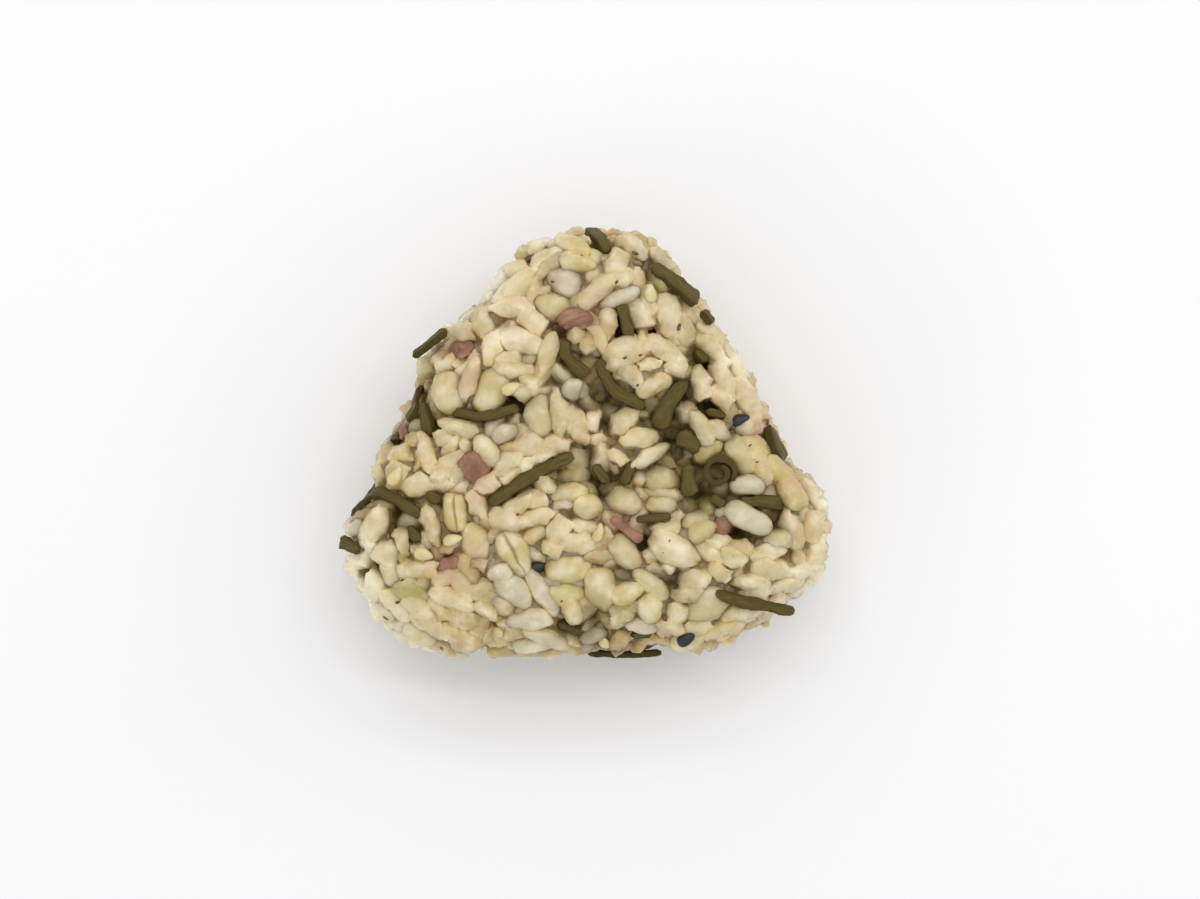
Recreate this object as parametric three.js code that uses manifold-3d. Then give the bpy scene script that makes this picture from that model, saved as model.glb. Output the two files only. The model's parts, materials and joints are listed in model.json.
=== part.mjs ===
// A triangular rice ball, lying on one of its two flat faces: boiled rice, pearl barley and sesame
// pressed round a solid core, with shreds of kelp and bits of pickled plum set into the surface.
// Millimetres, +Z up. The origin is on the resting face, at the middle of the triangle, and the
// corner between the left and right flanks points along +Y.
import * as THREE from "three";
import { MeshSurfaceSampler } from "three/addons/math/MeshSurfaceSampler.js";
import { mergeVertices } from "three/addons/utils/BufferGeometryUtils.js";
import Module from "manifold-3d";

const wasm = await Module();
wasm.setup();

// ---- The ball ----
const THICKNESS = 28; // over the grains, from the resting face to the upper face
const FLANKS = [
  { facing: -89, distance: 27.3 }, // degrees from +X, and mm from the axis
  { facing: 32, distance: 28.5 },
  { facing: 147, distance: 27.6 },
];
const CORNER_POWER = 2; // higher makes the three corners sharper
const SWELLS = [
  { bearing: 7, reach: -1.4, spread: 7 }, // where the outline stands out or falls short, degrees
  { bearing: 141, reach: 2.3, spread: 12 },
  { bearing: 185, reach: -2.9, spread: 5 },
  { bearing: 211, reach: -3.1, spread: 15 },
  { bearing: 325, reach: -3.1, spread: 15 },
];
const EDGE_POWER = 4; // higher makes the rims between flanks and faces sharper
const GRAIN_PROUD = 2.1; // how far the grains stand out of the core on the flanks and upper face
const BASE_PROUD = 1.8; // how far they stand out of it underneath
const HOLLOWS = [
  { x: 12, y: 3, radius: 9, depth: 1.6 }, // where the upper face is pressed in
  { x: 2, y: 11, radius: 4, depth: 1.1 },
  { x: 17.5, y: -1, radius: 4, depth: 1.2 },
];
const RIM_SHARE = 0.97; // of the core's radius, where its faces are taken to end
const CORE_RINGS = 10;
const CORE_SEGMENTS = 30;
const CORE_UNEVENNESS = 0.35; // how far the core's corners are pushed in or out
const CORNER_CROWDING = 0.35; // how far the core's segments crowd towards its corners

// ---- What is pressed into it ----
const RICE = { length: 7.6, width: 3.4, thickness: 3.1, count: 285 };
const BARLEY = { length: 6.6, width: 4.4, thickness: 3.7, count: 56 };
const SESAME = { length: 2.9, width: 1.8, thickness: 1.1 };
const SEED_LIFT = 0.2; // middle of a seed above the grain that it sticks to
const GRAIN_SIZE_SPREAD = 0.12; // grains differ from their kind's size by up to this share
const GRAIN_SHORTENING = 0.15; // and are shorter by up to this share
const GRAIN_SINK = 0.5; // a grain lies up to this much deeper than flush with the outline,
const GRAIN_RISE = 0.4; // or stands this much higher
const GRAIN_TILT = 0.3; // radians that a grain leans out of the surface at most
const GRAIN_CROWDING = 0.9; // neighbouring grains come this share of their widths together
const GRAIN_SIDES = 5;
const UNDERNEATH = -0.7; // where the surface faces down more than this, grains are pressed level
const PRESSED_SHARE = 0.3; // of its thickness, how high the grain at the origin has its middle
const TRIES_PER_GRAIN = 400;
const CLEARANCE = 0.3; // between the rice and each shred or plum bit
const SHRED_THICKNESS = 1;
const SHRED_END_TAPER = 0.8; // a shred's ends are this share of its width
const SHRED_LIFT = 0.5; // underside of a shred above the core
const STATION_SPACING = 2; // between the cross-sections of a shred
const FACET_TOLERANCE = 0.15; // detail finer than this is dropped from the joined grains

// Kelp shreds. A point [x, y] lies on the upper face, [x, y, z] is pressed to the flank at that
// height, and the points of a free shred are taken as they are.
const SHREDS = [
  { name: "apex", width: 2, path: [[0.4, 35.4, 18], [1.7, 33.3], [2.9, 31.3]] },
  { name: "apex_left", width: 1.4, path: [[-9.6, 30.2], [-6.6, 30.6]] },
  {
    name: "shoulder",
    width: 2.8,
    free: true,
    path: [[9.3, 29.5, 24.1], [11.6, 28.2, 23.8], [13.6, 26.4, 23.5], [15.8, 24.6, 22.8]],
  },
  { name: "shoulder_tail", width: 1.6, free: true, path: [[16.5, 23.2, 23.2], [17.9, 21.4, 23.2]] },
  { name: "under_apex", width: 1.8, path: [[4.9, 24], [6.3, 18.6]] },
  { name: "hook", width: 2, path: [[-3.3, 18.8], [-2.6, 16.5], [0.1, 14]] },
  { name: "arc", width: 1.9, path: [[1.8, 16.2], [3.9, 12], [8.3, 9.6]] },
  { name: "broad", width: 2.9, path: [[14.2, 13.1], [11.7, 10], [10.4, 6.4]] },
  { name: "broad_low", width: 2.7, path: [[13.2, 5.4], [16.2, 3.4]] },
  { name: "long", width: 1.8, path: [[-1.9, 2.5], [-7.6, -0.3], [-13.7, -4.4]] },
  { name: "middle_left", width: 1.7, path: [[1.1, 1.2], [3, -1.3]] },
  { name: "middle_right", width: 1.7, path: [[6.6, 1.5], [5.3, -1.7]] },
  { name: "below_middle", width: 1.3, path: [[7.1, -6.6], [12.1, -6.1]] },
  { name: "beside_coil", width: 2.4, path: [[14.4, 1.1], [14.9, -3.3]] },
  { name: "green", width: 2, path: [[21.8, -4.4], [24.8, -4.1], [28, -4.7]] },
  { name: "right_rim", width: 2, path: [[25.8, 6.2], [28, 3.9], [30.6, 1.4, 22]] },
  {
    name: "stick",
    width: 1.7,
    free: true,
    path: [[18.6, -17, 26.4], [21.8, -18.1, 26.1], [26, -18.9, 25.2], [29.9, -19.7, 23.8]],
  },
  { name: "bottom_left", width: 1.6, path: [[-4, -21.1], [-0.2, -22.3]] },
  { name: "bottom_right", width: 1.6, path: [[6.4, -22.7], [9.4, -22.2]] },
  {
    name: "bottom_flank",
    width: 2.2,
    free: true,
    path: [[0.4, -26.5, 13], [5.6, -26.6, 15], [11, -26.4, 14]],
  },
  { name: "left_bridge", width: 1.9, path: [[-34.4, -7, 17], [-31.7, -3.7], [-23.4, -6]] },
  { name: "left_leg", width: 1.8, path: [[-27.6, -7.1], [-27.9, -9.5]] },
  { name: "left_toe", width: 1.8, path: [[-25.5, -7.9], [-23.5, -9.5]] },
  { name: "left_fork_outer", width: 1.8, path: [[-24.4, 12.8, 16], [-25.9, 8.9], [-26.3, 7.4]] },
  { name: "left_fork_inner", width: 1.8, path: [[-22.8, 10], [-22, 5.2]] },
  {
    name: "left_spur",
    width: 1.3,
    free: true,
    path: [[-20, 20.4, 22.3], [-22.4, 18.5, 21.8], [-24.9, 16.6, 21]],
  },
  { name: "left_leaf", width: 2.2, free: true, path: [[-35.4, -9.9, 21.3], [-32.4, -10.9, 24]] },
  { name: "left_nick", width: 1.1, path: [[-29.4, 4.6, 17], [-28.2, 4.7]] },
  { name: "upper_left", width: 1.4, path: [[-18.8, 8.8], [-14.5, 8.1], [-9.8, 9.4]] },
  { name: "left_chip", width: 1.4, path: [[-22.6, -3.2], [-20.8, -4.1]] },
  { name: "right_chip", width: 1.6, path: [[15.2, 17.3], [16.7, 15.6]] },
  { name: "right_sliver", width: 1.3, path: [[17, 8.7], [19.8, 7.9]] },
];
const COIL = {
  x: 18.9,
  y: 0,
  outerRadius: 2.4,
  innerRadius: 0.9,
  start: 0.25, // turns from +X where its inner end lies
  turns: 1.35,
  depth: 2.2,
  stations: 16,
};
const COIL_TAIL = [[17.9, -3.4], [19.9, -4.9]];

// Pickled plum: [x, y] is the middle of a bit, and turn its long axis in degrees from +X.
const PLUM_BITS = [
  { name: "plum_left", x: -17.6, y: 17.5, length: 4.8, width: 3.2, turn: -25 },
  { name: "plum_middle", x: -15.7, y: 0.7, length: 5, width: 3.4, turn: 75 },
  { name: "plum_apex", x: -1.5, y: 21.7, length: 5.2, width: 3, turn: 8 },
  { name: "plum_low", x: -19.2, y: -13, length: 2.8, width: 2, turn: 20 },
  { name: "plum_fork", x: -26, y: 4.9, length: 1.7, width: 1.3, turn: 60 },
  { name: "plum_rim", x: 26.6, y: 7.3, length: 1.9, width: 1.4, turn: -50 },
  { name: "plum_coil", x: 19.6, y: -7.4, length: 1.8, width: 1.4, turn: 10 },
];
const PLUM_THICKNESS = 1.9;
const PLUM_STRAND = { name: "plum_strand", width: 1.3, path: [[3.7, -6.3], [7.9, -9.6]] };

// Sesame seeds on the upper face: [x, y, turn in degrees].
const BLACK_SESAME = [[-7, -13.5, 20], [22.2, 7.5, 15], [14.4, -23.7, 30]];
const WHITE_SESAME = [
  [9.1, 25.6, 80], [-10.7, 12, 30], [-27.2, -0.5, 60], [-19, -9.7, 10],
  [2, -8.6, 90], [-23.3, -11.6, -20], [-12.2, -22.5, 40], [2.8, -23.9, 70],
];

// Shreds on the sides that the list above doesn't reach: how many, and their ranges of width,
// height on the flank, climb along it, length and distance from the axis.
const ON_FLANKS = { count: 5, width: [1.6, 2.6], low: [6, 10], climb: [-2.7, 6.3], sweep: 11 };
const UNDER = { count: 5, width: [1.5, 2.5], away: [10, 21], length: 8, bend: [-0.6, 0.6] };

const MERGE_DISTANCE = 1e-4; // corners closer than this are one
const HALF = THICKNESS / 2;
const DEGREES = Math.PI / 180;

// A repeatable source of numbers from 0 to 1.
function randomFrom(seed) {
  let state = seed;
  return () => {
    state = (state + 0x6d2b79f5) | 0;
    let mixed = Math.imul(state ^ (state >>> 15), 1 | state);
    mixed = (mixed + Math.imul(mixed ^ (mixed >>> 7), 61 | mixed)) ^ mixed;
    return ((mixed ^ (mixed >>> 14)) >>> 0) / 4294967296;
  };
}

// Distance from the axis to the outside of the grains at a bearing: three flats whose corners
// run into each other, a little uneven.
function outlineRadius(bearing) {
  let sum = 0;
  for (const flank of FLANKS) {
    const reach = Math.cos(bearing - flank.facing * DEGREES) / flank.distance;
    sum += Math.max(0, reach) ** CORNER_POWER;
  }
  let radius = sum ** (-1 / CORNER_POWER);
  for (const swell of SWELLS) {
    const away = Math.cos(bearing - swell.bearing * DEGREES);
    const share = Math.acos(Math.min(1, away)) / (swell.spread * DEGREES);
    radius += swell.reach * Math.exp(-share * share);
  }
  return radius;
}

function hollowDepth(x, y) {
  let depth = 0;
  for (const hollow of HOLLOWS) {
    const away = Math.hypot(x - hollow.x, y - hollow.y) / hollow.radius;
    depth += hollow.depth * Math.exp(-away * away);
  }
  return depth;
}

// The direction out of the ball at a point near its surface.
function outward(point) {
  const level = (x, y, z) => {
    const share = Math.hypot(x, y) / outlineRadius(Math.atan2(y, x));
    return share ** EDGE_POWER + (Math.abs(z - HALF) / HALF) ** EDGE_POWER;
  };
  const step = 0.05;
  const { x, y, z } = point;
  return new THREE.Vector3(
    level(x + step, y, z) - level(x - step, y, z),
    level(x, y + step, z) - level(x, y - step, z),
    level(x, y, z + step) - level(x, y, z - step),
  ).normalize();
}

// ---- Solids ----

// A geometry's triangles with shared corners merged, as a solid for cutting and joining.
function solidOf(geometry) {
  const bare = new THREE.BufferGeometry();
  bare.setAttribute("position", geometry.getAttribute("position"));
  bare.setIndex(geometry.getIndex());
  const merged = mergeVertices(bare, MERGE_DISTANCE);
  const corners = merged.getIndex().array;
  const kept = [];
  for (let i = 0; i < corners.length; i += 3) {
    const [a, b, c] = corners.slice(i, i + 3);
    if (a !== b && b !== c && c !== a) kept.push(a, b, c);
  }
  return new wasm.Manifold(
    new wasm.Mesh({
      numProp: 3,
      vertProperties: merged.getAttribute("position").array,
      triVerts: new Uint32Array(kept),
    }),
  );
}

function geometryOf(solid) {
  const mesh = solid.getMesh();
  const geometry = new THREE.BufferGeometry();
  geometry.setAttribute("position", new THREE.BufferAttribute(mesh.vertProperties, 3));
  geometry.setIndex(new THREE.BufferAttribute(mesh.triVerts, 1));
  geometry.computeVertexNormals();
  return geometry;
}

// The bare core: a lathe-turned lens of unit size, drawn out to the triangle.
function coreGeometry() {
  const profile = [];
  for (let ring = 0; ring <= CORE_RINGS; ring += 1) {
    const angle = Math.PI * (ring / CORE_RINGS - 0.5);
    const [out, up] = [Math.cos(angle), Math.sin(angle)];
    const reach = (Math.abs(out) ** EDGE_POWER + Math.abs(up) ** EDGE_POWER) ** (-1 / EDGE_POWER);
    profile.push(new THREE.Vector2(reach * out, reach * up));
  }
  profile[0].x = 0;
  profile[CORE_RINGS].x = 0;
  const lens = new THREE.LatheGeometry(profile, CORE_SEGMENTS).rotateX(Math.PI / 2);
  const position = lens.getAttribute("position");
  for (let i = 0; i < position.count; i += 1) {
    const even = Math.atan2(position.getY(i), position.getX(i));
    const bearing = even - (CORNER_CROWDING / 3) * Math.sin(3 * (even - 90 * DEGREES));
    const share = Math.hypot(position.getX(i), position.getY(i));
    const radius = share * (outlineRadius(bearing) - GRAIN_PROUD);
    const x = radius * Math.cos(bearing);
    const y = radius * Math.sin(bearing);
    const height = position.getZ(i);
    const inset = height > 0 ? GRAIN_PROUD : BASE_PROUD;
    const hollow = height > 0 ? hollowDepth(x, y) : 0;
    position.setXYZ(i, x, y, HALF + height * (HALF - inset) - hollow);
  }
  lens.deleteAttribute("uv");
  lens.deleteAttribute("normal");
  const merged = mergeVertices(lens, MERGE_DISTANCE);
  merged.computeVertexNormals();
  const random = randomFrom(3);
  const corners = merged.getAttribute("position");
  const normals = merged.getAttribute("normal");
  for (let i = 0; i < corners.count; i += 1) {
    const push = CORE_UNEVENNESS * (2 * random() - 1);
    corners.setXYZ(
      i,
      corners.getX(i) + push * normals.getX(i),
      corners.getY(i) + push * normals.getY(i),
      corners.getZ(i) + push * normals.getZ(i),
    );
  }
  merged.computeVertexNormals();
  return merged;
}

const core = coreGeometry();

// Where a ray first meets the bare core, raised by lift.
function meetCore(from, direction, lift) {
  const [hit] = new THREE.Raycaster(from, direction).intersectObject(new THREE.Mesh(core));
  return hit.point.addScaledVector(outward(hit.point), lift);
}

// The point above or below [x, y], drawn in to the rim if it lies past it; side is 1 for the
// upper face and -1 for the resting one.
function onFace(x, y, lift, side = 1) {
  const rim = RIM_SHARE * (outlineRadius(Math.atan2(y, x)) - GRAIN_PROUD);
  const drawnIn = Math.min(1, rim / Math.hypot(x, y));
  const from = new THREE.Vector3(x * drawnIn, y * drawnIn, HALF + side * THICKNESS);
  return meetCore(from, new THREE.Vector3(0, 0, -side), lift);
}

// The point of the wall at a height, on the bearing of [x, y].
function onFlank(x, y, z, lift) {
  const inward = new THREE.Vector3(-x, -y, 0).normalize();
  const from = inward.clone().multiplyScalar(-4 * THICKNESS).setZ(z);
  return meetCore(from, inward, lift);
}

// A flat shred through stations of { point, normal }. It is width wide across the normal and
// SHRED_THICKNESS thick along it, or the other way round when it stands on edge.
function shredGeometry(stations, width, onEdge = false) {
  const last = stations.length - 1;
  const corners = [];
  stations.forEach(({ point, normal }, i) => {
    const before = stations[Math.max(0, i - 1)].point;
    const after = stations[Math.min(last, i + 1)].point;
    const along = after.clone().sub(before).normalize();
    const side = normal.clone().cross(along).normalize();
    const up = along.clone().cross(side);
    const taper = i === 0 || i === last ? SHRED_END_TAPER : 1;
    const across = onEdge ? SHRED_THICKNESS : width * taper;
    const deep = onEdge ? width : SHRED_THICKNESS;
    for (const [s, u] of [[-1, 0], [1, 0], [1, 1], [-1, 1]]) {
      const corner = point.clone().addScaledVector(side, (s * across) / 2);
      corners.push(...corner.addScaledVector(up, u * deep).toArray());
    }
  });
  const faces = [0, 1, 2, 0, 2, 3];
  for (let i = 0; i < last; i += 1) {
    for (let j = 0; j < 4; j += 1) {
      const a = 4 * i + j;
      const b = 4 * i + ((j + 1) % 4);
      faces.push(a, a + 4, b, b, a + 4, b + 4);
    }
  }
  const end = 4 * last;
  faces.push(end, end + 2, end + 1, end, end + 3, end + 2);
  const geometry = new THREE.BufferGeometry();
  geometry.setAttribute("position", new THREE.Float32BufferAttribute(corners, 3));
  geometry.setIndex(faces);
  if (solidOf(geometry).volume() < 0) geometry.setIndex(faces.reverse());
  geometry.computeVertexNormals();
  return geometry;
}

// Stations along a smooth route through points that are already settled.
function stationsAlong(points) {
  const route = new THREE.CatmullRomCurve3(points);
  const steps = Math.max(2, Math.round(route.getLength() / STATION_SPACING));
  return route.getSpacedPoints(steps).map((point) => ({ point, normal: outward(point) }));
}

// The same, with each station between the points moved down on to the core.
function settledStations(points) {
  return stationsAlong(points).map(({ point, normal }) => {
    const above = point.clone().addScaledVector(normal, 4 * SHRED_THICKNESS);
    return { point: meetCore(above, normal.clone().negate(), SHRED_LIFT), normal };
  });
}

function stationsOf({ path, free }) {
  if (free) return stationsAlong(path.map((place) => new THREE.Vector3(...place)));
  return settledStations(
    path.map(([x, y, z]) =>
      z === undefined ? onFace(x, y, SHRED_LIFT) : onFlank(x, y, z, SHRED_LIFT),
    ),
  );
}

// The rolled-up shred: a spiral that stands on edge, open in the middle.
function coilStations() {
  const stations = [];
  for (let i = 0; i <= COIL.stations; i += 1) {
    const share = i / COIL.stations;
    const angle = (COIL.start - share * COIL.turns) * 2 * Math.PI;
    const radius = COIL.innerRadius + (COIL.outerRadius - COIL.innerRadius) * share;
    const x = COIL.x + radius * Math.cos(angle);
    const y = COIL.y + radius * Math.sin(angle);
    stations.push({ point: onFace(x, y, SHRED_LIFT), normal: new THREE.Vector3(0, 0, 1) });
  }
  return stations;
}

// Shreds on the flanks and underneath, by rule.
function hiddenShreds() {
  const random = randomFrom(41);
  const within = ([low, high]) => low + (high - low) * random();
  const shreds = [];
  for (let i = 0; i < ON_FLANKS.count; i += 1) {
    const start = ((i + within([0.5, 0.8])) / ON_FLANKS.count) * 360;
    const low = within(ON_FLANKS.low);
    const climb = within(ON_FLANKS.climb);
    const points = [0, 0.5, 1].map((share) => {
      const bearing = (start + share * ON_FLANKS.sweep) * DEGREES;
      return onFlank(Math.cos(bearing), Math.sin(bearing), low + share * climb, SHRED_LIFT);
    });
    shreds.push({ stations: settledStations(points), width: within(ON_FLANKS.width) });
  }
  for (let i = 0; i < UNDER.count; i += 1) {
    const bearing = ((i + within([0, 0.5])) / UNDER.count) * 360 * DEGREES;
    const away = within(UNDER.away);
    const heading = within([0, 360]) * DEGREES;
    const bend = within(UNDER.bend);
    const points = [0, 0.5, 1].map((share) => {
      const along = share * UNDER.length;
      const x = away * Math.cos(bearing) + along * Math.cos(heading + bend * share);
      const y = away * Math.sin(bearing) + along * Math.sin(heading + bend * share);
      return onFace(x, y, SHRED_LIFT, -1);
    });
    shreds.push({ stations: settledStations(points), width: within(UNDER.width) });
  }
  return shreds;
}

// A bit of plum flesh: a flattened, uneven lump.
function plumGeometry(bit, seed) {
  const random = randomFrom(seed);
  const phase = [random() * 6, random() * 6, random() * 6];
  const lump = new THREE.SphereGeometry(1, 8, 5).rotateX(Math.PI / 2);
  const position = lump.getAttribute("position");
  for (let i = 0; i < position.count; i += 1) {
    const [x, y, z] = [position.getX(i), position.getY(i), position.getZ(i)];
    const uneven =
      1 + 0.1 * Math.sin(3 * x + phase[0]) + 0.1 * Math.sin(3 * y + phase[1] + 2 * z) +
      0.06 * Math.sin(5 * x - 4 * y + phase[2]);
    position.setXYZ(i, x * uneven, y * uneven, z);
  }
  lump.scale(bit.length / 2, bit.width / 2, PLUM_THICKNESS / 2);
  lump.rotateZ(bit.turn * DEGREES);
  const seat = onFace(bit.x, bit.y, SHRED_LIFT + PLUM_THICKNESS / 2);
  const lean = new THREE.Quaternion().setFromUnitVectors(new THREE.Vector3(0, 0, 1), outward(seat));
  return lump.applyQuaternion(lean).translate(seat.x, seat.y, seat.z);
}

// ---- Keeping things apart: each piece is a row of beads, { point, radius } ----

const beadsOfShred = ({ stations, width }) =>
  stations.map(({ point, normal }) => ({
    point: point.clone().addScaledVector(normal, SHRED_THICKNESS / 2),
    radius: width / 2 + CLEARANCE,
  }));

function beadsOfGrain(centre, along, length, width) {
  const reach = (length - width) / 2;
  return [-1, 0, 1].map((side) => ({
    point: centre.clone().addScaledVector(along, side * reach),
    radius: width / 2,
  }));
}

const touch = (beads, others, share) =>
  beads.some((a) => others.some((b) => a.point.distanceTo(b.point) < share * (a.radius + b.radius)));

// ---- Rice ----

function grainSolid({ length, width, thickness }, centre, along, up) {
  const grain = new THREE.CapsuleGeometry(width / 2, length - width, 1, GRAIN_SIDES);
  grain.rotateZ(Math.PI / 2).scale(1, 1, thickness / width);
  const across = up.clone().cross(along).normalize();
  const place = new THREE.Matrix4().makeBasis(along, across, along.clone().cross(across));
  place.setPosition(centre);
  return solidOf(grain.applyMatrix4(place));
}

// Grains pressed into the core at random, the first flat over the origin, and all of them clear
// of the shreds and plum.
function scatteredGrains(obstacles) {
  const random = randomFrom(7);
  const sampler = new MeshSurfaceSampler(new THREE.Mesh(core)).setRandomGenerator(random).build();
  const grains = [];
  const accept = (kind, centre, along, up) => {
    const beads = beadsOfGrain(centre, along, kind.length, kind.width);
    if (touch(beads, obstacles, 1)) return false;
    if (grains.some((grain) => touch(beads, grain.beads, GRAIN_CROWDING))) return false;
    grains.push({ beads, solid: grainSolid(kind, centre, along, up) });
    return true;
  };
  const down = new THREE.Vector3(0, 0, -1);
  const pressed = new THREE.Vector3(0, 0, PRESSED_SHARE * BARLEY.thickness);
  accept(BARLEY, pressed, new THREE.Vector3(1, 0, 0), down);
  const point = new THREE.Vector3();
  const up = new THREE.Vector3();
  for (const kind of [BARLEY, RICE]) {
    let placed = 0;
    for (let i = 0; i < TRIES_PER_GRAIN * kind.count && placed < kind.count; i += 1) {
      sampler.sample(point, up);
      up.normalize();
      const swell = 1 + GRAIN_SIZE_SPREAD * (2 * random() - 1);
      const size = {
        length: kind.length * swell * (1 - GRAIN_SHORTENING * random()),
        width: kind.width * swell,
        thickness: kind.thickness * swell,
      };
      const uneven = (GRAIN_RISE + GRAIN_SINK) * random() - GRAIN_SINK;
      const flush = GRAIN_PROUD - size.thickness / 2 + uneven;
      const underneath = up.z < UNDERNEATH;
      const centre = point.clone().addScaledVector(up, underneath ? Math.min(flush, 0) : flush);
      const turn = 2 * Math.PI * random();
      const tilt = underneath ? 0 : GRAIN_TILT * (2 * random() - 1);
      const level = new THREE.Vector3(-up.y, up.x, 0.01).cross(up).normalize().applyAxisAngle(up, turn);
      const along = level.multiplyScalar(Math.cos(tilt)).addScaledVector(up, Math.sin(tilt));
      if (accept(size, centre, along, up)) placed += 1;
    }
  }
  return grains.map((grain) => grain.solid);
}

// Seeds stuck to whatever lies uppermost at their places.
function seedSolids(rice, places, obstacles) {
  const target = new THREE.Mesh(geometryOf(rice));
  const seeds = [];
  for (const [x, y, turn] of places) {
    const ray = new THREE.Raycaster(new THREE.Vector3(x, y, 2 * THICKNESS), new THREE.Vector3(0, 0, -1));
    const [hit] = ray.intersectObject(target);
    const along = new THREE.Vector3(Math.cos(turn * DEGREES), Math.sin(turn * DEGREES), 0);
    const up = hit.face.normal.clone().lerp(outward(hit.point), 0.5).normalize();
    along.addScaledVector(up, -along.dot(up)).normalize();
    const centre = hit.point.clone().addScaledVector(up, SEED_LIFT);
    const beads = beadsOfGrain(centre, along, SESAME.length, SESAME.width);
    if (!touch(beads, obstacles, 1)) seeds.push(grainSolid(SESAME, centre, along, up));
  }
  return seeds;
}

// Everything of the rice node as one body that rests on z = 0.
function riceGeometry(obstacles) {
  const heap = wasm.Manifold.union([solidOf(core), ...scatteredGrains(obstacles)]);
  const seeded = wasm.Manifold.union([
    heap,
    ...seedSolids(heap, [...BLACK_SESAME, ...WHITE_SESAME], obstacles),
  ]);
  const table = new THREE.BoxGeometry(4 * THICKNESS, 4 * THICKNESS, THICKNESS);
  const resting = seeded.subtract(solidOf(table.translate(0, 0, -HALF)));
  const bodies = resting.simplify(FACET_TOLERANCE).decompose();
  bodies.sort((a, b) => b.volume() - a.volume());
  return geometryOf(bodies[0]);
}

// ---- The model ----

const rice = new THREE.MeshStandardMaterial({ color: 0xd8cfae, roughness: 0.35, metalness: 0 });
const kelp = new THREE.MeshStandardMaterial({ color: 0x4d4a26, roughness: 0.4, metalness: 0 });
const plum = new THREE.MeshStandardMaterial({ color: 0x965f55, roughness: 0.35, metalness: 0 });

const ball = new THREE.Group();

function addPiece(name, geometry, material) {
  const piece = new THREE.Mesh(geometry, material);
  piece.name = name;
  ball.add(piece);
}

const obstacles = [];
const layShred = (name, shred, material) => {
  obstacles.push(...beadsOfShred(shred));
  addPiece(name, shredGeometry(shred.stations, shred.width), material);
};
for (const shred of SHREDS) {
  layShred("kelp_" + shred.name, { stations: stationsOf(shred), width: shred.width }, kelp);
}
layShred(PLUM_STRAND.name, { stations: stationsOf(PLUM_STRAND), width: PLUM_STRAND.width }, plum);
hiddenShreds().forEach((shred, i) => layShred("kelp_hidden_" + (i + 1), shred, kelp));

const coil = coilStations();
obstacles.push({
  point: onFace(COIL.x, COIL.y, GRAIN_PROUD),
  radius: COIL.outerRadius + SHRED_THICKNESS / 2 + CLEARANCE,
});
addPiece("kelp_coil", shredGeometry(coil, COIL.depth, true), kelp);
layShred("kelp_coil_tail", { stations: stationsOf({ path: COIL_TAIL }), width: 1.6 }, kelp);

PLUM_BITS.forEach((bit, i) => {
  obstacles.push({
    point: onFace(bit.x, bit.y, GRAIN_PROUD / 2),
    radius: bit.length / 2 + CLEARANCE,
  });
  addPiece(bit.name, plumGeometry(bit, 100 + i), plum);
});

addPiece("rice", riceGeometry(obstacles), rice);

export default ball;
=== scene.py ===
import json
import math

import bmesh
import bpy
import numpy as np
from mathutils import Matrix, Vector
from mathutils.bvhtree import BVHTree
from mathutils.kdtree import KDTree

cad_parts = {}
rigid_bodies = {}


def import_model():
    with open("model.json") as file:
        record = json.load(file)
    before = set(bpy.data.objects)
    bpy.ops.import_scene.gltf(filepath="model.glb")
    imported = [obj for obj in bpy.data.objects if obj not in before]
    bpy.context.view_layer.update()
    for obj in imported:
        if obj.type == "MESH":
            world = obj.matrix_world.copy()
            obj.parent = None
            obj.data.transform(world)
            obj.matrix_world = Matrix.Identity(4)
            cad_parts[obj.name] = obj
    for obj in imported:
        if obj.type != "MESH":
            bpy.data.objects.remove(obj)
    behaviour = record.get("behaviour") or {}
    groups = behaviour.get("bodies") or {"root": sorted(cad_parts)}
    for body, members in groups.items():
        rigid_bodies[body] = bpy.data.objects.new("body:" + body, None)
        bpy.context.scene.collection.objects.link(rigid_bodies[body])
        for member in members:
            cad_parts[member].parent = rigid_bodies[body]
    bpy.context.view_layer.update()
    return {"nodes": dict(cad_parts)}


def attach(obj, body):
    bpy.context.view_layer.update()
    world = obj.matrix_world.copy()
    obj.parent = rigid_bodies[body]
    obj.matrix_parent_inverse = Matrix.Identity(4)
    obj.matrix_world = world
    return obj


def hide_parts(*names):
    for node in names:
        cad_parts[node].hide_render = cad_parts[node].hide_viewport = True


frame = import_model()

# A triangular rice ball lying on one of its flat faces: boiled rice and pearl barley pressed
# together, with kelp shreds, pickled plum and sesame seeds. Sizes are in millimetres, and made
# metres where a mesh is written. +Z is up, and the origin is on the table under the ball.
MM = 0.001
HALF_THICKNESS = 14.0
FLANKS = ((-89, 27.3), (32, 28.5), (147, 27.6))  # the way each flank faces, and its distance
CORNER_POWER = 2
EDGE_POWER = 4
SWELLS = (  # bearing, how far the outline stands out there, and over how many degrees
    (7, -1.4, 7), (141, 2.3, 12), (185, -2.9, 5), (211, -3.1, 15), (325, -3.1, 15),
)
HOLLOWS = ((12, 3, 9, 1.6), (2, 11, 4, 1.1), (17.5, -1, 4, 1.2))  # x, y, radius, depth
REGION = (-40, -32, 0.5), (40, 40, 27.5)  # random places are drawn in it
REGION_TOP = 28  # a little higher for what is stuck on the outside

CAMERA = (1.99, 3.39, 320.0)
LENS, SENSOR = 61.5, 36.0
FACE_PLANE = 26.5  # things are placed as the camera sees them on a plane this high

SEED = 11
random = np.random.default_rng(SEED)

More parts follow.
